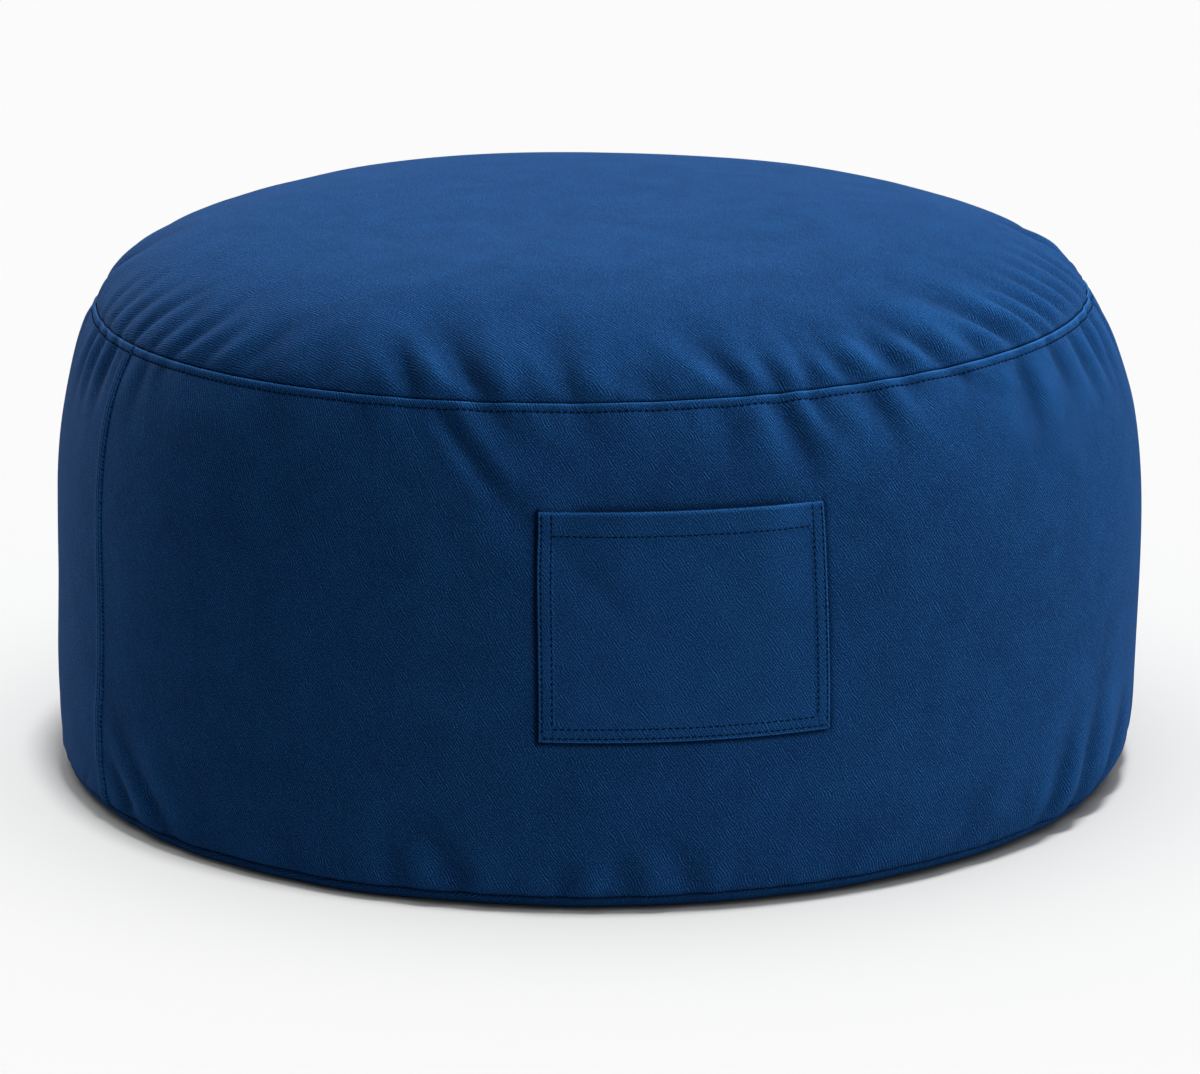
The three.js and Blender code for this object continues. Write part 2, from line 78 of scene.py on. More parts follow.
# The round section, from the rim of the floor to the middle of the top. at is the distance along it
# from the top seam: positive over the top panel and negative down the wall.
wall_heights = TOP_SEAM_HEIGHT * (np.arange(OUTLINE_STEPS + 1) / OUTLINE_STEPS) ** 2
crown_radii = TOP_SEAM_RADIUS * (1 - (np.arange(1, OUTLINE_STEPS + 1) / OUTLINE_STEPS) ** 2)
SECTION_RADIUS = np.concatenate([wall_radius(wall_heights), crown_radii])
SECTION_HEIGHT = np.concatenate([wall_heights, crown_height(crown_radii)])
section_steps = np.hypot(np.diff(SECTION_RADIUS), np.diff(SECTION_HEIGHT))
SECTION_AT = np.concatenate([[0], np.cumsum(section_steps)])
SECTION_AT -= SECTION_AT[OUTLINE_STEPS]
FLOOR_AT = SECTION_AT[0]
APEX_AT = SECTION_AT[-1]
BASE_SEAM_AT = np.interp(BASE_SEAM_HEIGHT, wall_heights, SECTION_AT[:OUTLINE_STEPS + 1])
NORMAL_SPAN = 5


def section_at(at):
    return np.interp(at, SECTION_AT, SECTION_RADIUS), np.interp(at, SECTION_AT, SECTION_HEIGHT)


def outwards_at(at):
    low_radius, low_height = section_at(at - NORMAL_SPAN)
    high_radius, high_height = section_at(at + NORMAL_SPAN)
    run = np.hypot(high_radius - low_radius, high_height - low_height)
    return (high_height - low_height) / run, (low_radius - high_radius) / run


# Folds. angle: where one starts, in degrees from the front towards the right. reach: how far it runs
# from its seam. width: half the width of its trough. depth: how deep. lean: degrees it turns on its way.
Fold = namedtuple("Fold", "angle reach width depth lean")
TOP_FOLDS = [
    Fold(-85, 74, 8, 1.7, 3),
    Fold(-80.4, 62, 7, 1.8, 3.4),
    Fold(-76, 84, 8, 2.2, 5),
    Fold(-71.4, 104, 8, 2.3, 8),
    Fold(-66.6, 62, 7, 2, 5.4),
    Fold(-62, 88, 10, 2.4, 8),
    Fold(-56.6, 60, 9, 1.7, 5),
    Fold(-51, 100, 15, 1.8, 9),
    Fold(-47, 50, 18, 1.6, 2),
    Fold(-38, 60, 19, 1.8, -2),
    Fold(-27.8, 74, 12, 5, -4),
    Fold(-20, 108, 17, 8.2, -9),
    Fold(-10.6, 92, 13, 3.6, -2),
    Fold(-1.6, 46, 20, 3.6, -2),
    Fold(8, 96, 14, 6, -5.6),
    Fold(12, 70, 11, 5, -2),
    Fold(16, 76, 11, 3.8, -1.2),
    Fold(20.4, 74, 12, 5, -2.4),
    Fold(27, 78, 15, 6.4, -2.8),
    Fold(33.4, 104, 15, 6.6, -7.6),
    Fold(40, 60, 12, 2.4, -3),
    Fold(46.6, 112, 17, 8.6, -10),
    Fold(52.2, 88, 9, 3.6, -6.4),
    Fold(56.6, 100, 10, 4.2, -6),
    Fold(61.2, 104, 9, 3, -4.6),
    Fold(65.6, 100, 8, 2.8, -3.4),
    Fold(70.2, 104, 8, 2.3, -1),
    Fold(75, 96, 9, 2.2, 1),
]
WALL_FOLDS = [
    Fold(-84.6, 100, 10, 3.6, -1.6),
    Fold(-80, 92, 9, 3.4, -1),
    Fold(-75.4, 96, 9, 3.8, -0.6),
    Fold(-66, 84, 11, 2.6, 0.4),
    Fold(-63, 70, 17, 1.8, 2),
    Fold(-44, 70, 19, 1.6, 2),
    Fold(-34, 74, 16, 2, 3),
    Fold(-19, 54, 13, 2, 4),
    Fold(-9, 62, 17, 1.8, 1),
    Fold(5.6, 84, 13, 3.8, 0),
    Fold(11.4, 100, 12, 6.4, 3.4),
    Fold(15, 56, 10, 3, 2.6),
    Fold(22.2, 88, 13, 5.4, 3),
    Fold(34, 46, 15, 2.6, 7),
    Fold(45.2, 112, 14, 5.6, -1.6),
    Fold(53, 84, 11, 4, 0),
    Fold(58.6, 96, 10, 4, 1.6),
    Fold(64, 92, 10, 4.2, 1),
    Fold(69.2, 116, 11, 4.8, -1.8),
    Fold(76, 94, 11, 4, 0),
]
BASE_FOLDS = [
    Fold(-64, 96, 15, 3.6, -7),
    Fold(-57, 150, 18, 5, -16),
    Fold(-40, 70, 18, 1.6, -2),
    Fold(-28, 74, 14, 3.2, -1.6),
    Fold(-21.4, 92, 15, 4.4, -5.4),
    Fold(-11.6, 50, 14, 2.6, 0),
    Fold(-5, 68, 13, 2.8, -2),
    Fold(1.6, 84, 14, 3.4, -4),
    Fold(17, 66, 18, 1.6, 2),
    Fold(31, 74, 18, 1.8, 3),
    Fold(45, 150, 15, 4.2, 6),
    Fold(51.6, 190, 17, 4.8, 5),
    Fold(59, 130, 15, 3.6, 7),
    Fold(70, 100, 16, 3, 3),
]

# Long creases on the wall, from one end to the other. below: distance below the top seam.
Crease = namedtuple("Crease", "from_angle from_below to_angle to_below width depth")
CREASES = [
    Crease(-25, 6, -17.6, 84, 8.5, 4.2),
    Crease(-18.6, 74, -5.6, 182, 14, 2.8),
]

# Shape of one fold: held to part of its depth at the seam, full after this share of its reach, wider
# towards its end, with a soft ridge on each side of its trough. A narrow core sharpens it at the seam.
PINNED_DEPTH = 0.3
PINNED_RUN = 9
FULL_AFTER = 0.2
START_WIDTH = 0.8
WIDENING = 0.9
RIDGE_HEIGHT = 0.42
RIDGE_OFFSET = 1.7
CORE_WIDTH = 0.36
CORE_DEPTH = 0.28
CREASE_ENDS = (-0.08, 0.2, 0.75, 1.08)

# The back has folds of the same kind, of mixed sizes
BACK_FROM = 82
BACK_TO = 270
BACK_FOLDS = 21
BACK_FOLD = Fold(0, 84, 16, 3.8, 4)
BACK_FOLD_MIX = Fold(0.3, 0.35, 0.15, 0.5, 1)


def smoothstep(x, low, high):
    share = np.clip((x - low) / (high - low), 0, 1)
    return share * share * (3 - 2 * share)


def bell(x):
    return np.exp(-x * x)


def pleat(x):
    ridges = RIDGE_HEIGHT * (bell(x - RIDGE_OFFSET) + bell(x + RIDGE_OFFSET))
    return ridges - (1 - CORE_DEPTH) * bell(x) - CORE_DEPTH * bell(x / CORE_WIDTH)


def angle_between(a, b):
    return (a - b + 180) % 360 - 180


def back_folds(shift):
    folds = []
    for i in range(BACK_FOLDS):
        mix = math.sin(i * 2.4 + shift)
        other = math.cos(i * 1.7 + shift * 3)
        place = (i + 0.5 + BACK_FOLD_MIX.angle * mix) / BACK_FOLDS
        folds.append(Fold(
            BACK_FROM + (BACK_TO - BACK_FROM) * place,
            BACK_FOLD.reach * (1 + BACK_FOLD_MIX.reach * other),
            BACK_FOLD.width * (1 + BACK_FOLD_MIX.width * mix),
            BACK_FOLD.depth * (1 + BACK_FOLD_MIX.depth * mix),
            BACK_FOLD.lean * BACK_FOLD_MIX.lean * other,
        ))
    return folds


# Short fine puckers between the folds, which turn in towards the middle of the front. SLACKS: how
# slack the cloth is at each angle, for the front left is drawn tight and has hardly any.
FINE_COUNT = 110
FINE_STRAY = 0.4
FINE_REACH = (14, 44)
FINE_WIDTH = (4.2, 7.5)
FINE_DEPTH = (0.25, 1.15)
FINE_TURN = 0.06
FINE_LEAN = 1
SLACKS = (
    (-180, 0.8), (-100, 1), (-66, 1), (-55, 0.3), (-32, 0.3), (-24, 0.8), (0, 0.7), (12, 1), (90, 1.1),
    (180, 0.8),
)


def fine_folds(seed):
    draws = np.random.default_rng(seed)
    folds = []
    for i in range(FINE_COUNT):
        angle = 360 * (i + draws.uniform(-FINE_STRAY, FINE_STRAY)) / FINE_COUNT - 180
        slack = np.interp(angle, *zip(*SLACKS))
        turn_in = -FINE_TURN * angle_between(angle, 0) * (abs(angle) < 90)
        folds.append(Fold(
            angle,
            draws.uniform(*FINE_REACH),
            draws.uniform(*FINE_WIDTH),
            slack * draws.uniform(*FINE_DEPTH),
            turn_in + draws.uniform(-FINE_LEAN, FINE_LEAN),
        ))
    return folds


# Over the top, down the wall, and up the wall from the base seam
MAIN_FOLDS = (TOP_FOLDS + back_folds(0), WALL_FOLDS + back_folds(1.3), BASE_FOLDS + back_folds(2.6))
FINE_FOLDS = (fine_folds(11), fine_folds(12), fine_folds(13))


def fold_relief(folds, angle, radius, distance):
    relief = np.zeros_like(distance)
    for fold in folds:
        near = np.flatnonzero((distance > -3 * PINNED_RUN) & (distance < fold.reach))
        run = distance[near]
        share = run / fold.reach
        turned = angle_between(angle[near], fold.angle + fold.lean * np.clip(share, 0, 1))
        width = fold.width * (START_WIDTH + WIDENING * np.clip(share, 0, 1))
        rising = PINNED_DEPTH + (1 - PINNED_DEPTH) * smoothstep(share, 0, FULL_AFTER)
        strength = rising * (1 - smoothstep(share, FULL_AFTER, 1))
        past_seam = np.where(run < 0, bell(run / PINNED_RUN), 1)
        across = np.radians(turned) * radius[near]
        relief[near] += fold.depth * strength * past_seam * pleat(across / width)
    return relief


def crease_relief(angle, radius, below):
    relief = np.zeros_like(below)
    for crease in CREASES:
        run = math.radians(crease.to_angle - crease.from_angle) * BULGE_RADIUS
        drop = crease.to_below - crease.from_below
        x = np.radians(angle_between(angle, crease.from_angle)) * radius
        y = below - crease.from_below
        length = math.hypot(run, drop)
        along = (x * run + y * drop) / length ** 2
        across = (x * drop - y * run) / length
        start, full, fading, end = CREASE_ENDS
        strength = smoothstep(along, start, full) * (1 - smoothstep(along, fading, end))
        relief += crease.depth * strength * pleat(across / crease.width)
    return relief


# Slow bulges of the filling round the wall, and its hollows under the top. at: distance from the
# middle of the top.
Swell = namedtuple("Swell", "lobes size turn")
SWELLS = [Swell(3, 2.2, 20), Swell(5, 1.5, 75), Swell(8, 0.9, 10)]
SWELL_RISE = 90
SWELL_MARGIN_BELOW = 120
SWELL_FADE_FROM = -110
SWELL_FADE_TO = -10
Dimple = namedtuple("Dimple", "angle at width depth")
DIMPLES = [Dimple(-60, 210, 120, 4), Dimple(28, 250, 90, 3), Dimple(150, 230, 130, 4)]
SETTLING = 24

# How the filling leans the bag. right: how far it moves to the right at each height. tilt: how far its
# right side is raised there and its left side lowered.
Lean = namedtuple("Lean", "height right tilt")
LEANS = [
    Lean(0, 0, 0),
    Lean(42, 6.5, 0),
    Lean(190, 8, 0),
    Lean(330, 6.5, 1),
    Lean(433, 1.5, 5.5),
    Lean(500, -3, 1),
    Lean(523, -11, 0),
]
LEAN_HEIGHTS, LEAN_RIGHT, LEAN_TILT = (np.array(column) for column in zip(*LEANS))


def filling_relief(angle, radius, at):
    wall_share = smoothstep(at, BASE_SEAM_AT, BASE_SEAM_AT + SWELL_MARGIN_BELOW)
    wall_share = wall_share * (1 - smoothstep(at, SWELL_FADE_FROM, SWELL_FADE_TO))
    relief = np.zeros_like(at)
    for swell in SWELLS:
        phase = np.radians(swell.lobes * (angle - swell.turn)) + at / SWELL_RISE
        relief += wall_share * swell.size * np.sin(phase)
    for dimple in DIMPLES:
        across = np.radians(angle_between(angle, dimple.angle)) * radius
        hollow = bell(across / dimple.width) * bell((radius - dimple.at) / dimple.width)
        relief -= (at > 0) * dimple.depth * hollow
    return relief


def eased(height, values):
    i = np.clip(np.searchsorted(LEAN_HEIGHTS, height) - 1, 0, len(LEAN_HEIGHTS) - 2)
    share = smoothstep(height, LEAN_HEIGHTS[i], LEAN_HEIGHTS[i + 1])
    return values[i] + (values[i + 1] - values[i]) * share


# Small random waves of the cloth. size: their length. stretch: how much longer they run up the wall.
Wave = namedtuple("Wave", "size stretch height seed")
WAVES = [Wave(120, 1.4, 1.6, 1), Wave(46, 1.8, 0.55, 2), Wave(19, 1.6, 0.13, 3)]
LATTICE_REACH = 640


@cache
def wave_lattice(wave):
    cells = 2 * int(LATTICE_REACH / wave.size) + 3
    return np.random.default_rng(wave.seed).uniform(-1, 1, (cells, cells, cells))


def random_waves(points, wave):
    lattice = wave_lattice(wave)
    scaled = (points + LATTICE_REACH) / (wave.size * np.array([1, 1, wave.stretch]))
    cell = np.floor(scaled).astype(int)
    share = scaled - cell
    share = share * share * (3 - 2 * share)
    total = np.zeros(len(points))
    for corner in np.ndindex(2, 2, 2):
        weight = np.prod(np.where(corner, share, 1 - share), axis=1)
        i, j, k = (cell + corner).T
        total += weight * lattice[i, j, k]
    return wave.height * total


# Side seams. One length of the wall is folded under and lapped over the other, with two rows of
# stitches through the lap. across: distance from the folded edge, over the lap. rise: how far the
# cloth stands out. The last column: how much paler the folded edge is painted, partly as rubbed wear
# and partly as a painted highlight.
SIDE_SEAMS = (-70.4, 109.6)
SideLap = namedtuple("SideLap", "across rise worn")
SIDE_LAP = [
    SideLap(-5, 0, 0),
    SideLap(-2.4, -0.25, 0),
    SideLap(-1, -0.75, 0),
    SideLap(-0.3, -1.1, 0),
    SideLap(0.05, 0.1, 0.4),
    SideLap(0.2, 1, 1),
    SideLap(0.7, 1.45, 1),
    SideLap(1.5, 1.4, 0.3),
    SideLap(2.2, 0.75, 0),
    SideLap(3, 1.4, 0.2),
    SideLap(4.6, 1.75, 0.3),
    SideLap(6.4, 1.6, 0.2),
    SideLap(7.6, 1.2, 0),
    SideLap(8.3, 0.55, 0),
    SideLap(9.1, 1.05, 0.1),
    SideLap(10.6, 1.1, 0.1),
    SideLap(12.4, 0.7, 0),
    SideLap(15, 0.15, 0),
    SideLap(18, 0, 0),
]
SIDE_ROWS = (2.2, 8.3)
LAP_TOP = 0.3
LAP_ACROSS, LAP_RISE, LAP_WEAR_AND_HIGHLIGHT = (np.array(column) for column in zip(*SIDE_LAP))

# Top seam. The wall's edge is folded under, lapped over the top panel and stitched below the fold.
# at and rise are where each ring of the cloth lies: up the wall, round the fold, down under it, and
# out again over the top panel. The last two columns: how much paler the cloth is painted, partly as
# rubbed wear and partly as a painted highlight on the folded edge, and how much darker, as painted
# shade in the crevice under the fold and in the dent the thread presses in.
SeamRing = namedtuple("SeamRing", "at rise worn dark")
TOP_SEAM = [
    SeamRing(-12, 0, 0, 0),
    SeamRing(-9.6, -0.05, 0, 0),
    SeamRing(-8.3, -0.2, 0, 0),
    SeamRing(-7.5, -0.4, 0, 0.1),
    SeamRing(-6.8, -0.3, 0, 0.1),
    SeamRing(-6, 0.3, 0, 0),
    SeamRing(-4.8, 0.75, 0.1, 0),
    SeamRing(-2.8, 1, 0.15, 0),
    SeamRing(-1.3, 1.05, 0.6, 0),
    SeamRing(-0.3, 0.8, 1.2, 0),
    SeamRing(0.1, 0.3, 1.2, 0),
    SeamRing(0, -0.4, 0.2, 0.6),
    SeamRing(-0.3, -1.2, 0, 1.1),
    SeamRing(0.3, -1.7, 0, 1.1),
    SeamRing(1, -1.2, 0, 0.7),
    SeamRing(1.9, -0.6, 0, 0.1),
    SeamRing(3.8, -0.3, 0.1, 0),
    SeamRing(6.6, -0.05, 0, 0),
]
TOP_STITCHES_AT = -7.2
UP_THE_WALL = [ring for ring in TOP_SEAM if ring.at < -2]
TOP_STITCH_DENT = np.interp(
    TOP_STITCHES_AT, [ring.at for ring in UP_THE_WALL], [ring.rise for ring in UP_THE_WALL])

# Base seam. The wall and the base panel meet in a plain seam, a narrow groove near the floor, which
# is painted darker as painted shade.
BASE_SEAM = [
    SeamRing(-7, 0, 0, 0),
    SeamRing(-3.4, -0.3, 0, 0.1),
    SeamRing(-1.5, -1.1, 0.1, 0.4),
    SeamRing(-0.4, -2.5, 0, 1),
    SeamRing(0.4, -2.5, 0, 1),
    SeamRing(1.4, -0.9, 0.1, 0.4),
    SeamRing(3.2, -0.1, 0.1, 0.1),
    SeamRing(6.5, 0, 0, 0),
]


# Where the pocket is sewn on. Its edge presses a groove into the wall, and the wall beside the edge
# is painted darker as painted shadow, more on the left and below. The wall behind its mouth is painted
# darker as painted shade. outside: distance outwards from the pocket's edge. rise: how deep the groove
# is. MOUTH_SHADES: how much painted shade there is at each distance above the mouth.
POCKET_WIDTH = 249.6
POCKET_FOOT = -288
POCKET_MOUTH = -92
EdgeGroove = namedtuple("EdgeGroove", "outside rise dark")
POCKET_GROOVE = [
    EdgeGroove(-0.9, 0, 0),
    EdgeGroove(0.1, -0.7, 1),
    EdgeGroove(1.3, -1, 1),
    EdgeGroove(2.5, -0.7, 0.6),
    EdgeGroove(4.1, -0.2, 0.1),
    EdgeGroove(6.4, 0, 0),
]
GROOVE_OUTSIDE, GROOVE_RISE, GROOVE_PAINTED_SHADOW = (np.array(column) for column in zip(*POCKET_GROOVE))
RIGHT_GROOVE_FROM = POCKET_WIDTH / 2 - 1
RIGHT_GROOVE_PAINTED_SHADOW = 0.4
MOUTH_SHADES = ((-9, 0.9), (-5, 0.9), (-1, 0.6), (3, 0.2), (7, 0))
MOUTH_SHADE_INSIDE = (10, 45)


def pocket_outside(angle, at):
    across = np.radians(angle_between(angle, 0)) * BULGE_RADIUS
    return across, np.maximum(np.abs(across) - POCKET_WIDTH / 2, POCKET_FOOT - at)


def pocket_shade(angle, at):
    across, outside = pocket_outside(angle, at)
    # Painted shadow beside the edge, weaker on the right, and painted shade above the mouth
    edge = np.interp(outside, GROOVE_OUTSIDE, GROOVE_PAINTED_SHADOW) * (at < POCKET_MOUTH)
    edge *= np.where(across > RIGHT_GROOVE_FROM, RIGHT_GROOVE_PAINTED_SHADOW, 1)
    mouth = np.interp(at - POCKET_MOUTH, *zip(*MOUTH_SHADES))
    return edge + mouth * smoothstep(-outside, *MOUTH_SHADE_INSIDE)


def side_lap(angle, at, values):
    total = np.zeros_like(at)
    for seam in SIDE_SEAMS:
        across = -np.radians(angle_between(angle, seam)) * BULGE_RADIUS
        total += np.interp(across, LAP_ACROSS, values) * ((at <= LAP_TOP) & (at > BASE_SEAM_AT))
    return total


def outwards(angle, at, relief):
    """Points of the round section moved outwards by relief, leaning as the filling does."""
    radius, height = section_at(at)
    out_radial, out_up = outwards_at(at)
    reach = radius + out_radial * relief
    x = reach * np.sin(np.radians(angle)) + eased(height, LEAN_RIGHT)
    y = -reach * np.cos(np.radians(angle))
    z = height + out_up * relief + eased(height, LEAN_TILT) * (x / TOP_SEAM_RADIUS)
    return np.stack([x, y, z], axis=1)


def folds_at(folds, angle, at):
    radius = section_at(at)[0]
    top, wall, base = folds
    relief = fold_relief(top, angle, radius, at)
    relief += fold_relief(wall, angle, radius, -at)
    relief += fold_relief(base, angle, radius, at - BASE_SEAM_AT)
    return relief


def creases_at(angle, at):
    return crease_relief(angle, section_at(at)[0], -at) * (at <= 0)


def waves_at(angle, at):
    plain = outwards(angle, at, 0)
    waves = sum(random_waves(plain, wave) for wave in WAVES)
    return waves + filling_relief(angle, section_at(at)[0], at)


def tube_faces(rings, around):
    faces = []
    for ring in range(rings - 1):
        for i in range(around):
            a = ring * around + i
            b = ring * around + (i + 1) % around
            faces.append([a, b, b + around, a + around])
    return faces


def add_object(name, data):
    piece = bpy.data.objects.new(name, data)
    bpy.context.scene.collection.objects.link(piece)
    return piece


def smooth_piece(name, points, faces):
    """A smooth piece from points in millimetres."""
    mesh = bpy.data.meshes.new(name)
    mesh.from_pydata((np.asarray(points) * MM).tolist(), [], faces)
    mesh.shade_smooth()
    return add_object(name, mesh)


# Cloth simulation. The wall and the rim of the top are held at both seams and towards the middle of
# the top. The filling presses them from inside, which swells the cloth and softens its folds, and
# spare cloth beside the seams puckers there. Each ring keeps its size on the whole.
SIM_COLUMNS = 360
SIM_WALL_ROWS = 48
SIM_TOP_ROWS = 27
SIM_ROWS = SIM_WALL_ROWS + SIM_TOP_ROWS
SIM_STEP = -BASE_SEAM_AT / SIM_WALL_ROWS
SIM_PRESSURE = 4
SIM_FRAMES = 20
SPARE_CLOTH = 0.08
SPARE_REACH = 80
SIM_CAP = 5
SIM_FADE = 70


def simulate_cloth():
    """How far the simulation moves each point of a grid of rows and columns, in millimetres."""
    rows_at = BASE_SEAM_AT + SIM_STEP * np.arange(SIM_ROWS)
    turns = np.arange(SIM_COLUMNS) * 360 / SIM_COLUMNS
    at, angle = (grid.ravel() for grid in np.meshgrid(rows_at, turns, indexing="ij"))
    relief = folds_at(MAIN_FOLDS, angle, at) + creases_at(angle, at) + waves_at(angle, at)
    start = outwards(angle, at, relief)
    shell = smooth_piece("simulated_cloth", start, tube_faces(SIM_ROWS, SIM_COLUMNS))

    held = shell.vertex_groups.new(name="held")
    spare = shell.vertex_groups.new(name="spare")
    for row, row_at in enumerate(rows_at):
        ring = list(range(row * SIM_COLUMNS, (row + 1) * SIM_COLUMNS))
        share = bell(row_at / SPARE_REACH) + bell((row_at - BASE_SEAM_AT) / SPARE_REACH)
        spare.add(ring, min(share, 1), "REPLACE")
        if row in (0, SIM_WALL_ROWS, SIM_ROWS - 1):
            held.add(ring, 1, "REPLACE")
    cloth = shell.modifiers.new("cloth", "CLOTH")
    cloth.settings.vertex_group_mass = held.name
    cloth.settings.vertex_group_shrink = spare.name
    cloth.settings.shrink_min = 0
    cloth.settings.shrink_max = -SPARE_CLOTH
    cloth.settings.use_pressure = True
    cloth.settings.uniform_pressure_force = SIM_PRESSURE
    cloth.settings.effector_weights.gravity = 0
    for frame_number in range(1, SIM_FRAMES + 1):
        bpy.context.scene.frame_set(frame_number)
    settled = shell.evaluated_get(bpy.context.evaluated_depsgraph_get()).data
    end = np.zeros(start.size)
    settled.vertices.foreach_get("co", end)
    bpy.context.scene.frame_set(1)
    bpy.data.objects.remove(shell)

    shift = (end.reshape(-1, 3) / MM - start).reshape(SIM_ROWS, SIM_COLUMNS, 3)
    length = np.linalg.norm(shift, axis=2, keepdims=True)
    shift *= np.minimum(1, SIM_CAP / np.maximum(length, SIM_CAP / 100))
    out = (outwards(angle, at, 1) - outwards(angle, at, 0)).reshape(shift.shape)
    swelling = np.sum(shift * out, axis=2, keepdims=True).mean(axis=1, keepdims=True)
    return shift - swelling * out


def spread_over(share):
    """Shares of four neighbours in a row of a grid, for a smooth curve through between them."""
    return [
        (1 - share) ** 3 / 6,
        (3 * share ** 3 - 6 * share ** 2 + 4) / 6,
        (-3 * share ** 3 + 3 * share ** 2 + 3 * share + 1) / 6,
        share ** 3 / 6,
    ]


SIM_SHIFT = simulate_cloth()


def simulated_shift(angle, at):
    column = (angle % 360) * SIM_COLUMNS / 360
    row = np.clip((at - BASE_SEAM_AT) / SIM_STEP, 0, SIM_ROWS - 1)
    i, j = np.floor(row).astype(int), np.floor(column).astype(int)
    total = np.zeros((len(at), 3))
    for down, row_share in enumerate(spread_over(row - i)):
        for across, column_share in enumerate(spread_over(column - j)):
            near = SIM_SHIFT[np.clip(i + down - 1, 0, SIM_ROWS - 1), (j + across - 1) % SIM_COLUMNS]
            total += (row_share * column_share)[:, None] * near
    inner = BASE_SEAM_AT + SIM_STEP * (SIM_ROWS - 1)
    free = (at > BASE_SEAM_AT) * (1 - smoothstep(at, inner - SIM_FADE, inner))
    return total * free[:, None]


def bag_surface(angle, at, proud):
    """Points of the cloth moved outwards by proud, and how far its folds stand out there."""
    folds = folds_at(MAIN_FOLDS, angle, at) + folds_at(FINE_FOLDS, angle, at) + creases_at(angle, at)
    across, outside = pocket_outside(angle, at)
    groove = np.interp(outside, GROOVE_OUTSIDE, GROOVE_RISE) * (at < POCKET_MOUTH)
    relief = folds + waves_at(angle, at) + side_lap(angle, at, LAP_RISE) + groove
    settled = smoothstep(at, FLOOR_AT, FLOOR_AT + SETTLING)
    points = outwards(angle, at, settled * relief + proud) + simulated_shift(angle, at)
    points[:, 2] = np.where(at <= FLOOR_AT, 0, np.maximum(points[:, 2], 0))
    return points, settled * folds


# Columns of the cloth, close together at the laps of the side seams. They start and end at the right
# side seam, and the rings near the middle of the top and of the floor take one in two or four.
COLUMN_STEP = 360 / 672
LAP_MARGIN = 2
FINE = 1
HALF = 2
QUARTER = 4


def bag_columns():
    outsides = [POCKET_WIDTH / 2 + outside for outside in GROOVE_OUTSIDE]
    edges = [math.degrees(side * outside / BULGE_RADIUS) for outside in outsides for side in (-1, 1)]
    columns = []
    for i, angle in enumerate(np.arange(SIDE_SEAMS[1] - 360, SIDE_SEAMS[1], COLUMN_STEP)):
        every = max(step for step in (FINE, HALF, QUARTER) if i % step == 0)
        near = [-math.radians(angle_between(angle, seam)) * BULGE_RADIUS for seam in SIDE_SEAMS]
        on_seam = any(LAP_ACROSS[0] - LAP_MARGIN < across < LAP_ACROSS[-1] + LAP_MARGIN for across in near)
        on_edge = any(abs(angle - edge) < COLUMN_STEP / 4 for edge in edges)
        if not on_seam and not on_edge:
            columns.append((angle, every))
    columns += [(edge, FINE) for edge in edges]
    for seam in SIDE_SEAMS:
        for i, across in enumerate(LAP_ACROSS):
            angle = seam - math.degrees(across / BULGE_RADIUS)
            angle -= 360 * (angle >= SIDE_SEAMS[1])
            columns.append((angle, QUARTER if i in (0, len(LAP_ACROSS) - 1) else FINE))
    return sorted(columns)


# Rings of the cloth. every: which columns it takes. part: the cloth that starts there.
Ring = namedtuple("Ring", "at rise worn dark every part")
BASE, WALL, TOP = "base", "wall", "top"
RingRun = namedtuple("RingRun", "start stop step every part")
FLOOR_RUNS = [RingRun(FLOOR_AT, BASE_SEAM_AT - 8, 3.4, FINE, BASE)]
WALL_RUNS = [
    RingRun(BASE_SEAM_AT + 10, BASE_SEAM_AT + 50, 4.4, FINE, WALL),
    RingRun(BASE_SEAM_AT + 50, BASE_SEAM_AT + 110, 6, FINE, WALL),
    RingRun(BASE_SEAM_AT + 110, -110, 8.6, FINE, WALL),
    RingRun(-110, -58, 6, FINE, WALL),
    RingRun(-58, -15, 4.2, FINE, WALL),
]
TOP_RUNS = [
    RingRun(11, 60, 4.2, FINE, TOP),
    RingRun(60, 122, 6, FINE, TOP),
    RingRun(122, 240, 9, HALF, TOP),
    RingRun(240, APEX_AT - 8, 15, QUARTER, TOP),
]
EDGE_RINGS = [POCKET_FOOT - outside for outside in GROOVE_OUTSIDE]
EDGE_RINGS += [POCKET_MOUTH + above for above, dark in MOUTH_SHADES]
EDGE_MARGIN = 1.4


def plain_rings(runs):
    rings = []
    for run in runs:
        count = max(1, round((run.stop - run.start) / run.step))
        for at in np.linspace(run.start, run.stop, count, endpoint=False):
            rings.append(Ring(at, 0, 0, 0, run.every, run.part))
    return rings


def seam_rings(rows, seam_at, low_part, high_part):
    """The rings of a seam, where high_part follows on low_part in its deepest ring."""
    middle = np.argmin([row.rise for row in rows])
    return [
        Ring(seam_at + row.at, row.rise, row.worn, row.dark, FINE, low_part if i < middle else high_part)
        for i, row in enumerate(rows)
    ]


def wall_rings():
    rings = plain_rings(WALL_RUNS)
    rings = [ring for ring in rings if all(abs(ring.at - at) > EDGE_MARGIN for at in EDGE_RINGS)]
    return sorted(rings + [Ring(at, 0, 0, 0, FINE, WALL) for at in EDGE_RINGS])


# From the rim of the floor up to the middle of the top, and from that rim to the middle of the floor
RINGS = (
    plain_rings(FLOOR_RUNS)
    + seam_rings(BASE_SEAM, BASE_SEAM_AT, BASE, WALL)
    + wall_rings()
    + seam_rings(TOP_SEAM, 0, WALL, TOP)
    + plain_rings(TOP_RUNS)
)
FLOOR_RINGS = (450, 425, 380, 300, 180)


def cloth_place(part, angle, at):
    """Where a point lies on its flat cloth: the wall is a long strip, the top and base are rounds."""
    if part == WALL:
        return math.radians(angle) * BULGE_RADIUS, at
    distance = APEX_AT - at if part == TOP else at - FLOOR_AT + FLOOR_RADIUS
    return distance * math.sin(math.radians(angle)), -distance * math.cos(math.radians(angle))


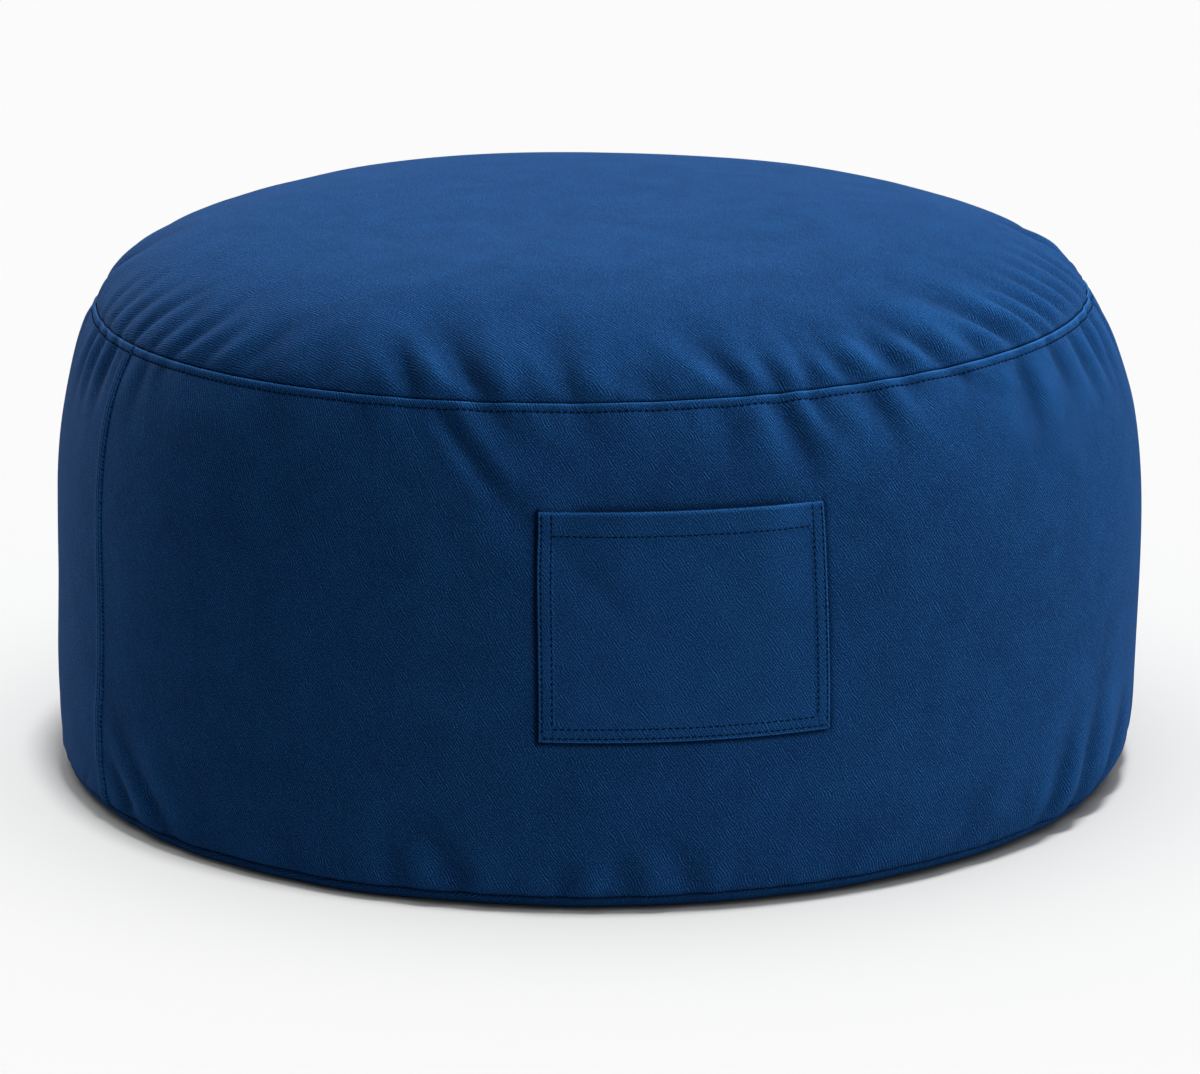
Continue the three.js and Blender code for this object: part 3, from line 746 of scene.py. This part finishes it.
def band_faces(low, high):
    """Faces between two rings of (angle, index), as lists of (ring, place in it)."""
    if len(low) == len(high):
        return [((0, j), (0, j + 1), (1, j + 1), (1, j)) for j in range(len(low) - 1)]
    faces = []
    i = j = 0
    while i < len(low) - 1 or j < len(high) - 1:
        step_low = j == len(high) - 1 or (i < len(low) - 1 and low[i + 1][0] <= high[j + 1][0])
        if step_low:
            faces.append(((0, i), (0, i + 1), (1, j)))
            i += 1
        else:
            faces.append(((0, i), (1, j + 1), (1, j)))
            j += 1
    return faces


CLOTH_MAP = "cloth_place"


def cloth_mesh(name, points, faces, places, worn, dark):
    """A piece with its cloth places in millimetres, one for each face corner, and its painted light and
    wear.
    """
    piece = smooth_piece(name, points, faces)
    layer = piece.data.uv_layers.new(name=CLOTH_MAP)
    layer.uv.foreach_set("vector", (np.asarray(places, np.float32) * MM).ravel())
    for attribute, values in (("worn", worn), ("dark", dark)):
        piece.data.attributes.new(attribute, "FLOAT", "POINT").data.foreach_set("value", values)
    return piece


# Ridges are painted paler, partly as rubbed wear and partly as a painted highlight, and troughs are
# painted darker as painted shade, in shares of a fold this high
FOLD_WEAR_AND_LIGHT_HEIGHT = 3
FOLD_WEAR_AND_LIGHT_SHARE = 0.3
FOLD_PAINTED_SHADE_LEAST = -0.6


def closed_ring(angles, start):
    """The angle and the index of each point of a ring, back round to its first."""
    return [(angle, start + i) for i, angle in enumerate(angles)] + [(angles[0] + 360, start)]


def add_band(faces, places, part, low, high, low_at, high_at):
    pair = (low, high)
    pair_at = (low_at, high_at)
    for face in band_faces(low, high):
        faces.append([pair[side][i][1] for side, i in face])
        places += [cloth_place(part, pair[side][i][0], pair_at[side]) for side, i in face]


def bag_cover():
    columns = bag_columns()
    kept = [[angle for angle, every in columns if every >= ring.every] for ring in RINGS]
    counts = [len(ring_angles) for ring_angles in kept]
    starts = np.cumsum([0] + counts).tolist()
    rings = [closed_ring(ring_angles, start) for ring_angles, start in zip(kept, starts)]
    angles = np.concatenate(kept)
    at, proud, worn, dark = (
        np.repeat([float(getattr(ring, name)) for ring in RINGS], counts)
        for name in ("at", "rise", "worn", "dark")
    )
    points, folds = bag_surface(angles, at, proud)
    # Painted highlight and rubbed wear on ridges and folded edges, painted shade in troughs and by the
    # pocket
    fold_wear_and_painted_light = FOLD_WEAR_AND_LIGHT_SHARE * np.clip(folds / FOLD_WEAR_AND_LIGHT_HEIGHT, FOLD_PAINTED_SHADE_LEAST, 1)
    worn = worn + fold_wear_and_painted_light + side_lap(angles, at, LAP_WEAR_AND_HIGHLIGHT)
    dark = dark + pocket_shade(angles, at)
    points = points.tolist()

    faces = []
    places = []
    for band in range(len(rings) - 1):
        low, high = RINGS[band], RINGS[band + 1]
        add_band(faces, places, low.part, rings[band], rings[band + 1], low.at, high.at)

    apex = len(points)
    points += bag_surface(np.zeros(1), np.array([APEX_AT]), np.zeros(1))[0].tolist()
    rim_at = RINGS[-1].at
    for (angle, index), (next_angle, next_index) in zip(rings[-1], rings[-1][1:]):
        faces.append([index, next_index, apex])
        places += [cloth_place(TOP, angle, rim_at), cloth_place(TOP, next_angle, rim_at), (0, 0)]

    outer = rings[0]
    outer_at = FLOOR_AT
    quarter = [angle for angle, every in columns if every >= QUARTER]
    for radius in FLOOR_RINGS:
        inner = closed_ring(quarter, len(points))
        inner_at = FLOOR_AT - FLOOR_RADIUS + radius
        points += [[*cloth_place(BASE, angle, inner_at), 0] for angle in quarter]
        add_band(faces, places, BASE, inner, outer, inner_at, outer_at)
        outer = inner
        outer_at = inner_at
    middle = len(points)
    points.append([0, 0, 0])
    for (angle, index), (next_angle, next_index) in zip(outer, outer[1:]):
        faces.append([next_index, index, middle])
        places += [cloth_place(BASE, next_angle, outer_at), cloth_place(BASE, angle, outer_at), (0, 0)]
    plain = np.zeros(len(points) - len(worn))
    return cloth_mesh("bag_cover", points, faces, places, np.append(worn, plain), np.append(dark, plain))


def srgb(code):
    """An sRGB hex colour as Blender's linear one."""
    channels = [int(code[i:i + 2], 16) / 255 for i in (1, 3, 5)]
    return [c / 12.92 if c <= 0.04045 else ((c + 0.055) / 1.055) ** 2.4 for c in channels] + [1]


def add_node(tree, kind, inputs=None, **settings):
    """A new node with its settings. inputs gives each socket a value, or a (node, output) to link."""
    node = tree.nodes.new(kind)
    for name, value in settings.items():
        setattr(node, name, value)
    for socket, value in (inputs or {}).items():
        if isinstance(value, tuple) and isinstance(value[0], bpy.types.Node):
            tree.links.new(value[0].outputs[value[1]], node.inputs[socket])
        else:
            node.inputs[socket].default_value = value
    return node


def emptied_tree(owner):
    owner.use_nodes = True
    owner.node_tree.nodes.clear()
    return owner.node_tree


# Brushed cotton twill: fine diagonal ribs under a soft nap. It gives the eye a matt deep navy with
# fine ribs that bend and break up, paler where the nap is rubbed, where highlights are painted and at
# a grazing view, and darker where shade is painted.
NAVY_DEEP = "#020e1d"
NAVY = "#0a2344"
NAVY_RUBBED = "#1a4a7c"
TWILL_ANGLE = 56
# Real ribs lie about 1 mm apart. They are drawn coarser, as far apart as they show.
RIB_PITCH = 2.2 * MM
WAVE_TEXTURE_PITCH = 2 * math.pi / 20
RIB_BENDING = 8
RIB_BEND_SIZE = 0.5
BREAK_LENGTH = 12 * MM
BREAK_WIDTH = 4.5 * MM
SOLID_FROM = 0.3
SOLID_TO = 0.7
SLUB_SIZE = 1.15 * MM
SLUB_HEIGHT = 0.4
NAP_CLOUD = 40 * MM
RIB_HEIGHT = 0.25 * MM
# Shares of the tone, which runs from deep navy at 0, over navy at 0.5, to rubbed blue at 1
RIB_TONE = 0.66
SLUB_TONE = 1.3
CLOUD_TONE = 0.16
# These two make the cloth paler for rubbed wear and painted highlights, and darker for painted shade
WEAR_AND_HIGHLIGHT_TONE = 0.32
PAINTED_SHADE_TONE = -0.5


def brushed_twill(name, navy):
    material = bpy.data.materials.new(name)
    tree = emptied_tree(material)
    place = add_node(tree, "ShaderNodeUVMap", uv_map=CLOTH_MAP)
    turned = add_node(tree, "ShaderNodeMapping", {
        "Vector": (place, "UV"), "Rotation": (0, 0, math.radians(TWILL_ANGLE))})
    ribs = add_node(tree, "ShaderNodeTexWave", {
        "Vector": (turned, "Vector"),
        "Scale": WAVE_TEXTURE_PITCH / RIB_PITCH,
        "Distortion": RIB_BENDING,
        "Detail": 1,
        "Detail Scale": RIB_BEND_SIZE,
    }, wave_type="BANDS", bands_direction="Y")
    stretched = add_node(tree, "ShaderNodeVectorMath", {
        0: (turned, "Vector"), 1: (1 / BREAK_LENGTH, 1 / BREAK_WIDTH, 1)}, operation="MULTIPLY")
    breaks = add_node(tree, "ShaderNodeTexNoise", {
        "Vector": (stretched, "Vector"), "Scale": 1, "Detail": 2, "Roughness": 0.6})
    solid = add_node(tree, "ShaderNodeMapRange", {
        "Value": (breaks, 0), "From Min": SOLID_FROM, "From Max": SOLID_TO})
    centred = add_node(tree, "ShaderNodeMath", {0: (ribs, "Fac"), 1: 0.5}, operation="SUBTRACT")
    broken = add_node(tree, "ShaderNodeMath", {0: (centred, 0), 1: (solid, 0)}, operation="MULTIPLY")
    slubs = add_node(tree, "ShaderNodeTexNoise", {
        "Vector": (place, "UV"), "Scale": 1 / SLUB_SIZE, "Detail": 1})
    clouds = add_node(tree, "ShaderNodeTexNoise", {
        "Vector": (place, "UV"), "Scale": 1 / NAP_CLOUD, "Detail": 3})

    worn = add_node(tree, "ShaderNodeAttribute", attribute_name="worn")
    dark = add_node(tree, "ShaderNodeAttribute", attribute_name="dark")
    patterns = [
        (broken, 0, RIB_TONE), (slubs, 0, SLUB_TONE), (clouds, 0, CLOUD_TONE),
        (worn, "Fac", WEAR_AND_HIGHLIGHT_TONE), (dark, "Fac", PAINTED_SHADE_TONE),
    ]
    tone = 0.5 - 0.5 * (SLUB_TONE + CLOUD_TONE)
    for node, output, share in patterns:
        sum_node = add_node(tree, "ShaderNodeMath", {
            0: (node, output), 1: share, 2: tone}, operation="MULTIPLY_ADD")
        tone = (sum_node, 0)
    colour = add_node(tree, "ShaderNodeValToRGB", {"Fac": tone})
    ramp = colour.color_ramp
    ramp.elements[0].color = srgb(NAVY_DEEP)
    ramp.elements[1].color = srgb(NAVY_RUBBED)
    ramp.elements.new(0.5).color = srgb(navy)

    height = add_node(tree, "ShaderNodeMath", {
        0: (slubs, 0), 1: SLUB_HEIGHT, 2: (broken, 0)}, operation="MULTIPLY_ADD")
    bump = add_node(tree, "ShaderNodeBump", {"Height": (height, 0), "Strength": 1, "Distance": RIB_HEIGHT})
    cloth = add_node(tree, "ShaderNodeBsdfPrincipled", {
        "Base Color": (colour, "Color"),
        "Roughness": 0.9,
        "Specular IOR Level": 0.01,
        "Sheen Weight": 0.014,
        "Sheen Roughness": 0.4,
        "Sheen Tint": srgb("#5ca6f5"),
        "Normal": (bump, "Normal"),
    })
    add_node(tree, "ShaderNodeOutputMaterial", {"Surface": (cloth, "BSDF")})
    return material


bag = bag_cover()
bag.data.materials.append(brushed_twill("brushed_cotton_twill", NAVY))
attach(bag, "root")
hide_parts("filled_bag")


# Patch pocket. One piece of the same twill with a deep hem at its mouth and its other edges turned
# under, sewn to the front of the wall by two rows of stitches on three sides. Its mouth gapes a little.

POCKET_HEM = 20.5
POCKET_TURNED_EDGE = 12.5
POCKET_CLOTH = 2
POCKET_DOUBLED_CLOTH = 3
SEWN_GAP = 0.35
MOUTH_GAPE = 13
GAPE_DEPTH = 150
GAPE_FALL = 1.6
GAPE_CENTRE = 0.15
GAPE_RUN = (0.06, 0.62)
EDGE_ROUND = 1.5
DOUBLED_TO_MOUTH = 22
DOUBLED_STEP = (-0.5, 1)
EDGE_ROWS = (3, 11.5)
FOOT_ROWS = (4, 12)
HEM_ROW_FROM = (10, 12)
NO_DENT_AT_MOUTH = (0.5, 3)
STITCH_DENT = 0.6
STITCH_DENT_WIDTH = 0.6
# Painted shade on the stitch rows and at the rim, and a paler band just inside the edge, partly rubbed
# wear and partly a painted highlight
ROW_PAINTED_SHADE = 0.12
RIM_PAINTED_SHADE = 0.9
RIM_PAINTED_SHADE_FADE = (0, 0.8)
EDGE_WEAR_AND_HIGHLIGHT_FROM = (0.3, 0.9)
EDGE_WEAR_AND_HIGHLIGHT_TO = (1.2, 2.4)
POCKET_STEP = 2.8
POCKET_WAVE = Wave(34, 1.3, 0.5, 21)
WAVE_FROM = (12, 40)
# Distances from an edge where columns or rows lie close together, for its roundness and its rows
EDGE_STOPS = (
    0, 0.12, 0.45, 0.9, 1.5, 2.2, 2.6, 3, 3.4, 3.9, 4.3,
    5.2, 7, 9, 10.6, 11.1, 11.5, 11.9, 12.4, 13.2, 14.6,
)
ROUND_STOPS = EDGE_STOPS[:5]
HEM_STOPS = (17.5, 19, 19.8, 20.2, 20.5, 20.8, 21.2, 22, 23.5)


def between_stops(start, stop, step):
    count = round((stop - start) / step)
    return list(np.linspace(start, stop, count + 1)[1:-1])


def pocket_gape(side, below_mouth):
    """How far the mouth stands off the wall. side: -1 at the left edge, 1 at the right."""
    skewed = np.where(side < GAPE_CENTRE, (side + 1) / (GAPE_CENTRE + 1), (1 - side) / (1 - GAPE_CENTRE))
    across = smoothstep(skewed, *GAPE_RUN)
    down = 1 - np.clip(below_mouth / GAPE_DEPTH, 0, 1)
    return MOUTH_GAPE * across * down ** GAPE_FALL


def on_rows(from_side, from_foot, from_mouth):
    """How close points lie to a row of stitches: 1 on it and 0 away from it."""
    near = sum(bell((from_side - row) / STITCH_DENT_WIDTH) for row in EDGE_ROWS)
    near = near + sum(bell((from_foot - row) / STITCH_DENT_WIDTH) for row in FOOT_ROWS)
    hem_row = bell((from_mouth - POCKET_HEM) / STITCH_DENT_WIDTH)
    return np.clip(near + hem_row * smoothstep(from_side, *HEM_ROW_FROM), 0, 1)


def pocket_thickness(from_side, from_foot, from_mouth):
    edge = np.minimum(np.minimum(from_side, from_foot), from_mouth)
    turned = np.minimum(from_side, from_foot) - POCKET_TURNED_EDGE
    doubled = 1 - smoothstep(np.minimum(turned, from_mouth - DOUBLED_TO_MOUTH), *DOUBLED_STEP)
    thickness = POCKET_CLOTH + (POCKET_DOUBLED_CLOTH - POCKET_CLOTH) * doubled
    rounded = np.sqrt(1 - (1 - np.clip(edge / EDGE_ROUND, 0, 1)) ** 2)
    dents = on_rows(from_side, from_foot, from_mouth) * smoothstep(from_mouth, *NO_DENT_AT_MOUTH)
    return thickness * rounded - STITCH_DENT * dents


def pocket_surface(across, at, front, lift=0):
    """Points of the pocket's back, front 0, or its front, front 1. across: distance from its middle."""
    angle = np.degrees(across / BULGE_RADIUS)
    from_side = POCKET_WIDTH / 2 - np.abs(across)
    thickness = pocket_thickness(from_side, at - POCKET_FOOT, POCKET_MOUTH - at)
    plain = np.stack([across, np.zeros_like(across), at], axis=1)
    free = smoothstep(from_side, *WAVE_FROM) * smoothstep(at - POCKET_FOOT, *WAVE_FROM)
    wave = random_waves(plain, POCKET_WAVE) * free
    gape = pocket_gape(across / (POCKET_WIDTH / 2), POCKET_MOUTH - at)
    proud = SEWN_GAP + gape + np.maximum(wave, -gape) + front * thickness + lift
    return bag_surface(angle, at, proud)[0]


def patch_pocket():
    half = POCKET_WIDTH / 2
    side = [half - stop for stop in EDGE_STOPS]
    middle = between_stops(-side[-1], side[-1], POCKET_STEP)
    columns = np.array([-x for x in side] + middle + side[::-1])
    foot = [POCKET_FOOT + stop for stop in EDGE_STOPS]
    mouth = [POCKET_MOUTH - stop for stop in (*ROUND_STOPS, *HEM_STOPS)]
    hem = between_stops(POCKET_MOUTH - HEM_STOPS[0], POCKET_MOUTH - ROUND_STOPS[-1], POCKET_STEP)
    rows = foot + between_stops(foot[-1], mouth[-1], POCKET_STEP) + mouth + hem
    rows = np.array(sorted(rows))
    width, height = len(columns), len(rows)
    across, at = (grid.ravel() for grid in np.meshgrid(columns, rows))
    points = np.concatenate([pocket_surface(across, at, 1), pocket_surface(across, at, 0)])
    from_side, from_foot, from_mouth = half - np.abs(across), at - POCKET_FOOT, POCKET_MOUTH - at
    edge = np.minimum(np.minimum(from_side, from_foot), from_mouth)
    # A paler band inside the edge, partly rubbed wear and partly a painted highlight, and painted shade on
    # the stitch rows and at the rim
    worn = smoothstep(edge, *EDGE_WEAR_AND_HIGHLIGHT_FROM) * (1 - smoothstep(edge, *EDGE_WEAR_AND_HIGHLIGHT_TO))
    dark = ROW_PAINTED_SHADE * on_rows(from_side, from_foot, from_mouth)
    dark = dark + RIM_PAINTED_SHADE * (1 - smoothstep(edge, *RIM_PAINTED_SHADE_FADE))

    size = width * height
    faces = []
    for row in range(height - 1):
        for column in range(width - 1):
            corner = row * width + column
            front = [corner, corner + 1, corner + 1 + width, corner + width]
            faces.append(front)
            faces.append([size + i for i in reversed(front)])
    rim = [row * width for row in range(height - 1, 0, -1)] + list(range(width))
    rim += [row * width + width - 1 for row in range(1, height)]
    rim += [(height - 1) * width + column for column in range(width - 2, 0, -1)]
    for a, b in zip(rim, rim[1:] + rim[:1]):
        faces.append([size + a, size + b, b, a])
    flat = np.stack([across, at], axis=1)
    flat = np.concatenate([flat, flat])
    places = flat[[i for face in faces for i in face]]
    return cloth_mesh("pocket_patch", points, faces, places, np.tile(worn, 2), np.tile(dark, 2))


# A slightly paler navy than the wall's
PATCH_NAVY = "#0c284b"
pocket = patch_pocket()
pocket.data.materials.append(brushed_twill("brushed_twill_patch", PATCH_NAVY))
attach(pocket, "root")
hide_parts("patch_pocket")


# Stitching. Navy polyester thread in plain machine stitches: one row below the top seam, two rows
# along each side seam, and two rows round the pocket with one across its hem. Each stitch dips into
# the cloth at both ends.

STITCH_PITCH = 5.6
STITCH_LENGTH = 3.5
THREAD_RADIUS = 0.62
THREAD_SIDES = 6
# Along one stitch: share of its length, share of the thread's radius, height above the dent
STITCH_SHAPE = [(0, 0.5, -0.35), (0.14, 0.9, 0.12), (0.5, 1, 0.3), (0.86, 0.9, 0.12), (1, 0.5, -0.35)]
# Where the rows of the side seams and of the pocket's sides start and end
SIDE_ROWS_FROM = BASE_SEAM_AT + 8
SIDE_ROWS_TO = -12
POCKET_ROWS_FROM = POCKET_MOUTH - 2


def stitch_row(place, length):
    """Stitches along a row. place(distance, lift) gives points of the row, lifted off the cloth."""
    count = int(length / STITCH_PITCH)
    starts = (length - count * STITCH_PITCH) / 2 + STITCH_PITCH * np.arange(count)
    rings = []
    for share, radius, lift in STITCH_SHAPE:
        distance = starts + share * STITCH_LENGTH
        lifts = np.full(count, lift)
        middle = place(distance, lifts)
        along = place(distance + 0.5, lifts) - place(distance - 0.5, lifts)
        up = place(distance, lifts + 1) - middle
        side = np.cross(along, up)
        side /= np.linalg.norm(side, axis=1, keepdims=True)
        up = np.cross(side, along)
        up /= np.linalg.norm(up, axis=1, keepdims=True)
        for turn in np.arange(THREAD_SIDES) * 2 * math.pi / THREAD_SIDES:
            rings.append(middle + THREAD_RADIUS * radius * (math.cos(turn) * side + math.sin(turn) * up))
    return np.stack(rings, axis=1).reshape(-1, 3)


def stitch_faces(count):
    sections = len(STITCH_SHAPE)
    one = tube_faces(sections, THREAD_SIDES)
    one.append(list(range(THREAD_SIDES))[::-1])
    one.append([(sections - 1) * THREAD_SIDES + i for i in range(THREAD_SIDES)])
    size = sections * THREAD_SIDES
    return [[stitch * size + i for i in face] for stitch in range(count) for face in one]


def on_top_seam(distance, lift):
    angle = np.degrees(distance / TOP_SEAM_RADIUS)
    at = np.full_like(distance, TOP_STITCHES_AT)
    return bag_surface(angle, at, TOP_STITCH_DENT + lift)[0]


def on_side_seam(seam, across):
    def place(distance, lift):
        angle = np.full_like(distance, seam - math.degrees(across / BULGE_RADIUS))
        return bag_surface(angle, SIDE_ROWS_FROM + distance, lift)[0]
    return place


def on_pocket(from_side, side):
    def place(distance, lift):
        across = np.full_like(distance, side * (POCKET_WIDTH / 2 - from_side))
        return pocket_surface(across, POCKET_ROWS_FROM - distance, 1, lift)
    return place


def on_pocket_across(at, start):
    def place(distance, lift):
        return pocket_surface(start + distance, np.full_like(distance, at), 1, lift)
    return place


# Spun polyester thread. It gives the eye small matt dashes, darker than the cloth they sink into.
THREAD_DARK = "#01060f"
THREAD_NAVY = "#04142b"
LUMP_SIZE = 1.2 * MM
LUMP_HEIGHT = 0.1 * MM


def thread_material():
    material = bpy.data.materials.new("spun_polyester_thread")
    tree = emptied_tree(material)
    place = add_node(tree, "ShaderNodeTexCoord")
    lumps = add_node(tree, "ShaderNodeTexNoise", {"Vector": (place, "Object"), "Scale": 1 / LUMP_SIZE})
    colour = add_node(tree, "ShaderNodeValToRGB", {"Fac": (lumps, 0)})
    colour.color_ramp.elements[0].position = 0.3
    colour.color_ramp.elements[0].color = srgb(THREAD_DARK)
    colour.color_ramp.elements[1].position = 0.7
    colour.color_ramp.elements[1].color = srgb(THREAD_NAVY)
    bump = add_node(tree, "ShaderNodeBump", {
        "Height": (lumps, 0), "Strength": 0.4, "Distance": LUMP_HEIGHT})
    thread = add_node(tree, "ShaderNodeBsdfPrincipled", {
        "Base Color": (colour, "Color"), "Roughness": 0.7, "Specular IOR Level": 0,
        "Normal": (bump, "Normal")})
    add_node(tree, "ShaderNodeOutputMaterial", {"Surface": (thread, "BSDF")})
    return material


def stitching(name, rows):
    points = np.concatenate([stitch_row(place, length) for place, length in rows])
    faces = stitch_faces(len(points) // (len(STITCH_SHAPE) * THREAD_SIDES))
    piece = smooth_piece(name, points, faces)
    piece.data.materials.append(thread)
    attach(piece, "root")


thread = thread_material()
side_length = SIDE_ROWS_TO - SIDE_ROWS_FROM
seam_rows = [(on_side_seam(seam, across), side_length) for seam in SIDE_SEAMS for across in SIDE_ROWS]
stitching("seam_stitching", [(on_top_seam, 2 * math.pi * TOP_SEAM_RADIUS)] + seam_rows)

pocket_rows = [
    (on_pocket(edge, side), POCKET_ROWS_FROM - POCKET_FOOT - foot)
    for edge, foot in zip(EDGE_ROWS, FOOT_ROWS) for side in (-1, 1)
]
across_rows = [(edge, POCKET_FOOT + foot) for edge, foot in zip(EDGE_ROWS, FOOT_ROWS)]
across_rows.append((EDGE_ROWS[1], POCKET_MOUTH - POCKET_HEM))
for from_side, at in across_rows:
    start = from_side - POCKET_WIDTH / 2
    pocket_rows.append((on_pocket_across(at, start), -2 * start))
stitching("pocket_stitching", pocket_rows)


# Studio. A plain pale floor, a soft key light from the upper right behind the bag, softer lights on
# both sides and a dim sky, and the camera a little above the bag at some distance.

FLOOR_REACH = 16
FLOOR_GREY = "#a1a1a1"
floor_mesh = bpy.data.meshes.new("studio_floor")
floor_turns = [math.radians(angle) for angle in range(360)]
floor_rim = [(FLOOR_REACH * math.cos(turn), FLOOR_REACH * math.sin(turn), 0) for turn in floor_turns]
floor_mesh.from_pydata(floor_rim, [], [list(range(360))])
floor = add_object("studio_floor", floor_mesh)
# Matt paint, which gives the eye nothing but soft shade
paint = bpy.data.materials.new("matt_studio_paint")
paint.use_nodes = True
for socket, value in (("Base Color", srgb(FLOOR_GREY)), ("Roughness", 1), ("Specular IOR Level", 0)):
    paint.node_tree.nodes["Principled BSDF"].inputs[socket].default_value = value
floor.data.materials.append(paint)

# Soft lights. azimuth: where the light stands, in degrees from the front towards the right. Two
# light the floor from overhead, so that the shadow is short, and the others light the bag.
SoftLight = namedtuple("SoftLight", "name azimuth elevation strength spread lit")
LIGHTS = [
    SoftLight("floor_light", 40, 84, 4.5, 9, "floor"),
    SoftLight("floor_fill", 40, 88, 2.7, 70, "floor"),
    SoftLight("key_light", 122, 60, 6.6, 40, "bag"),
    SoftLight("right_light", 60, 20, 3.5, 50, "bag"),
    SoftLight("left_back_light", -150, 22, 5.2, 30, "bag"),
    SoftLight("right_back_light", 125, 22, 2.4, 40, "bag"),
]
lit_pieces = {name: bpy.data.collections.new(f"lit_{name}") for name in ("floor", "bag")}
for piece in [piece for piece in bpy.context.scene.objects if piece.type == "MESH"]:
    lit_pieces["floor" if piece == floor else "bag"].objects.link(piece)
for light in LIGHTS:
    lamp = bpy.data.lights.new(light.name, "SUN")
    lamp.energy = light.strength
    lamp.angle = math.radians(light.spread)
    sun = add_object(light.name, lamp)
    sun.rotation_euler = (math.radians(90 - light.elevation), 0, math.radians(light.azimuth))
    sun.light_linking.receiver_collection = lit_pieces[light.lit]

# A dim white sky, which looks as pale as the floor where the camera sees it
SKY = 0.42
BACKDROP = 0.93
world = bpy.data.worlds.new("studio_sky")
sky_tree = emptied_tree(world)
seen = add_node(sky_tree, "ShaderNodeLightPath")
brightness = add_node(sky_tree, "ShaderNodeMapRange", {
    "Value": (seen, "Is Camera Ray"), "To Min": SKY, "To Max": BACKDROP})
sky = add_node(sky_tree, "ShaderNodeBackground", {"Color": (1, 1, 1, 1), "Strength": (brightness, 0)})
add_node(sky_tree, "ShaderNodeOutputWorld", {"Surface": (sky, 0)})
bpy.context.scene.world = world
bpy.context.scene.view_settings.view_transform = "Standard"

CAMERA_AZIMUTH = math.radians(-8.55)
CAMERA_DISTANCE = 4.5
CAMERA_HEIGHT = 1.3769
CAMERA_SIDE = 0.0045
CAMERA_PITCH = math.radians(14.656)
CAMERA_TURN = math.radians(0.061)
CAMERA_SENSOR = 36
CAMERA_LENS = 150.29
CAMERA_REACH = 100
lens = bpy.data.cameras.new("camera")
lens.sensor_width = CAMERA_SENSOR
lens.lens = CAMERA_LENS
lens.clip_end = CAMERA_REACH
camera = add_object("camera", lens)
right = Vector((math.cos(CAMERA_AZIMUTH), math.sin(CAMERA_AZIMUTH), 0))
back = Vector((math.sin(CAMERA_AZIMUTH), -math.cos(CAMERA_AZIMUTH), 0))
camera.location = CAMERA_SIDE * right + CAMERA_DISTANCE * back + Vector((0, 0, CAMERA_HEIGHT))
camera.rotation_euler = (math.pi / 2 - CAMERA_PITCH, 0, CAMERA_AZIMUTH - CAMERA_TURN)
bpy.context.scene.camera = camera
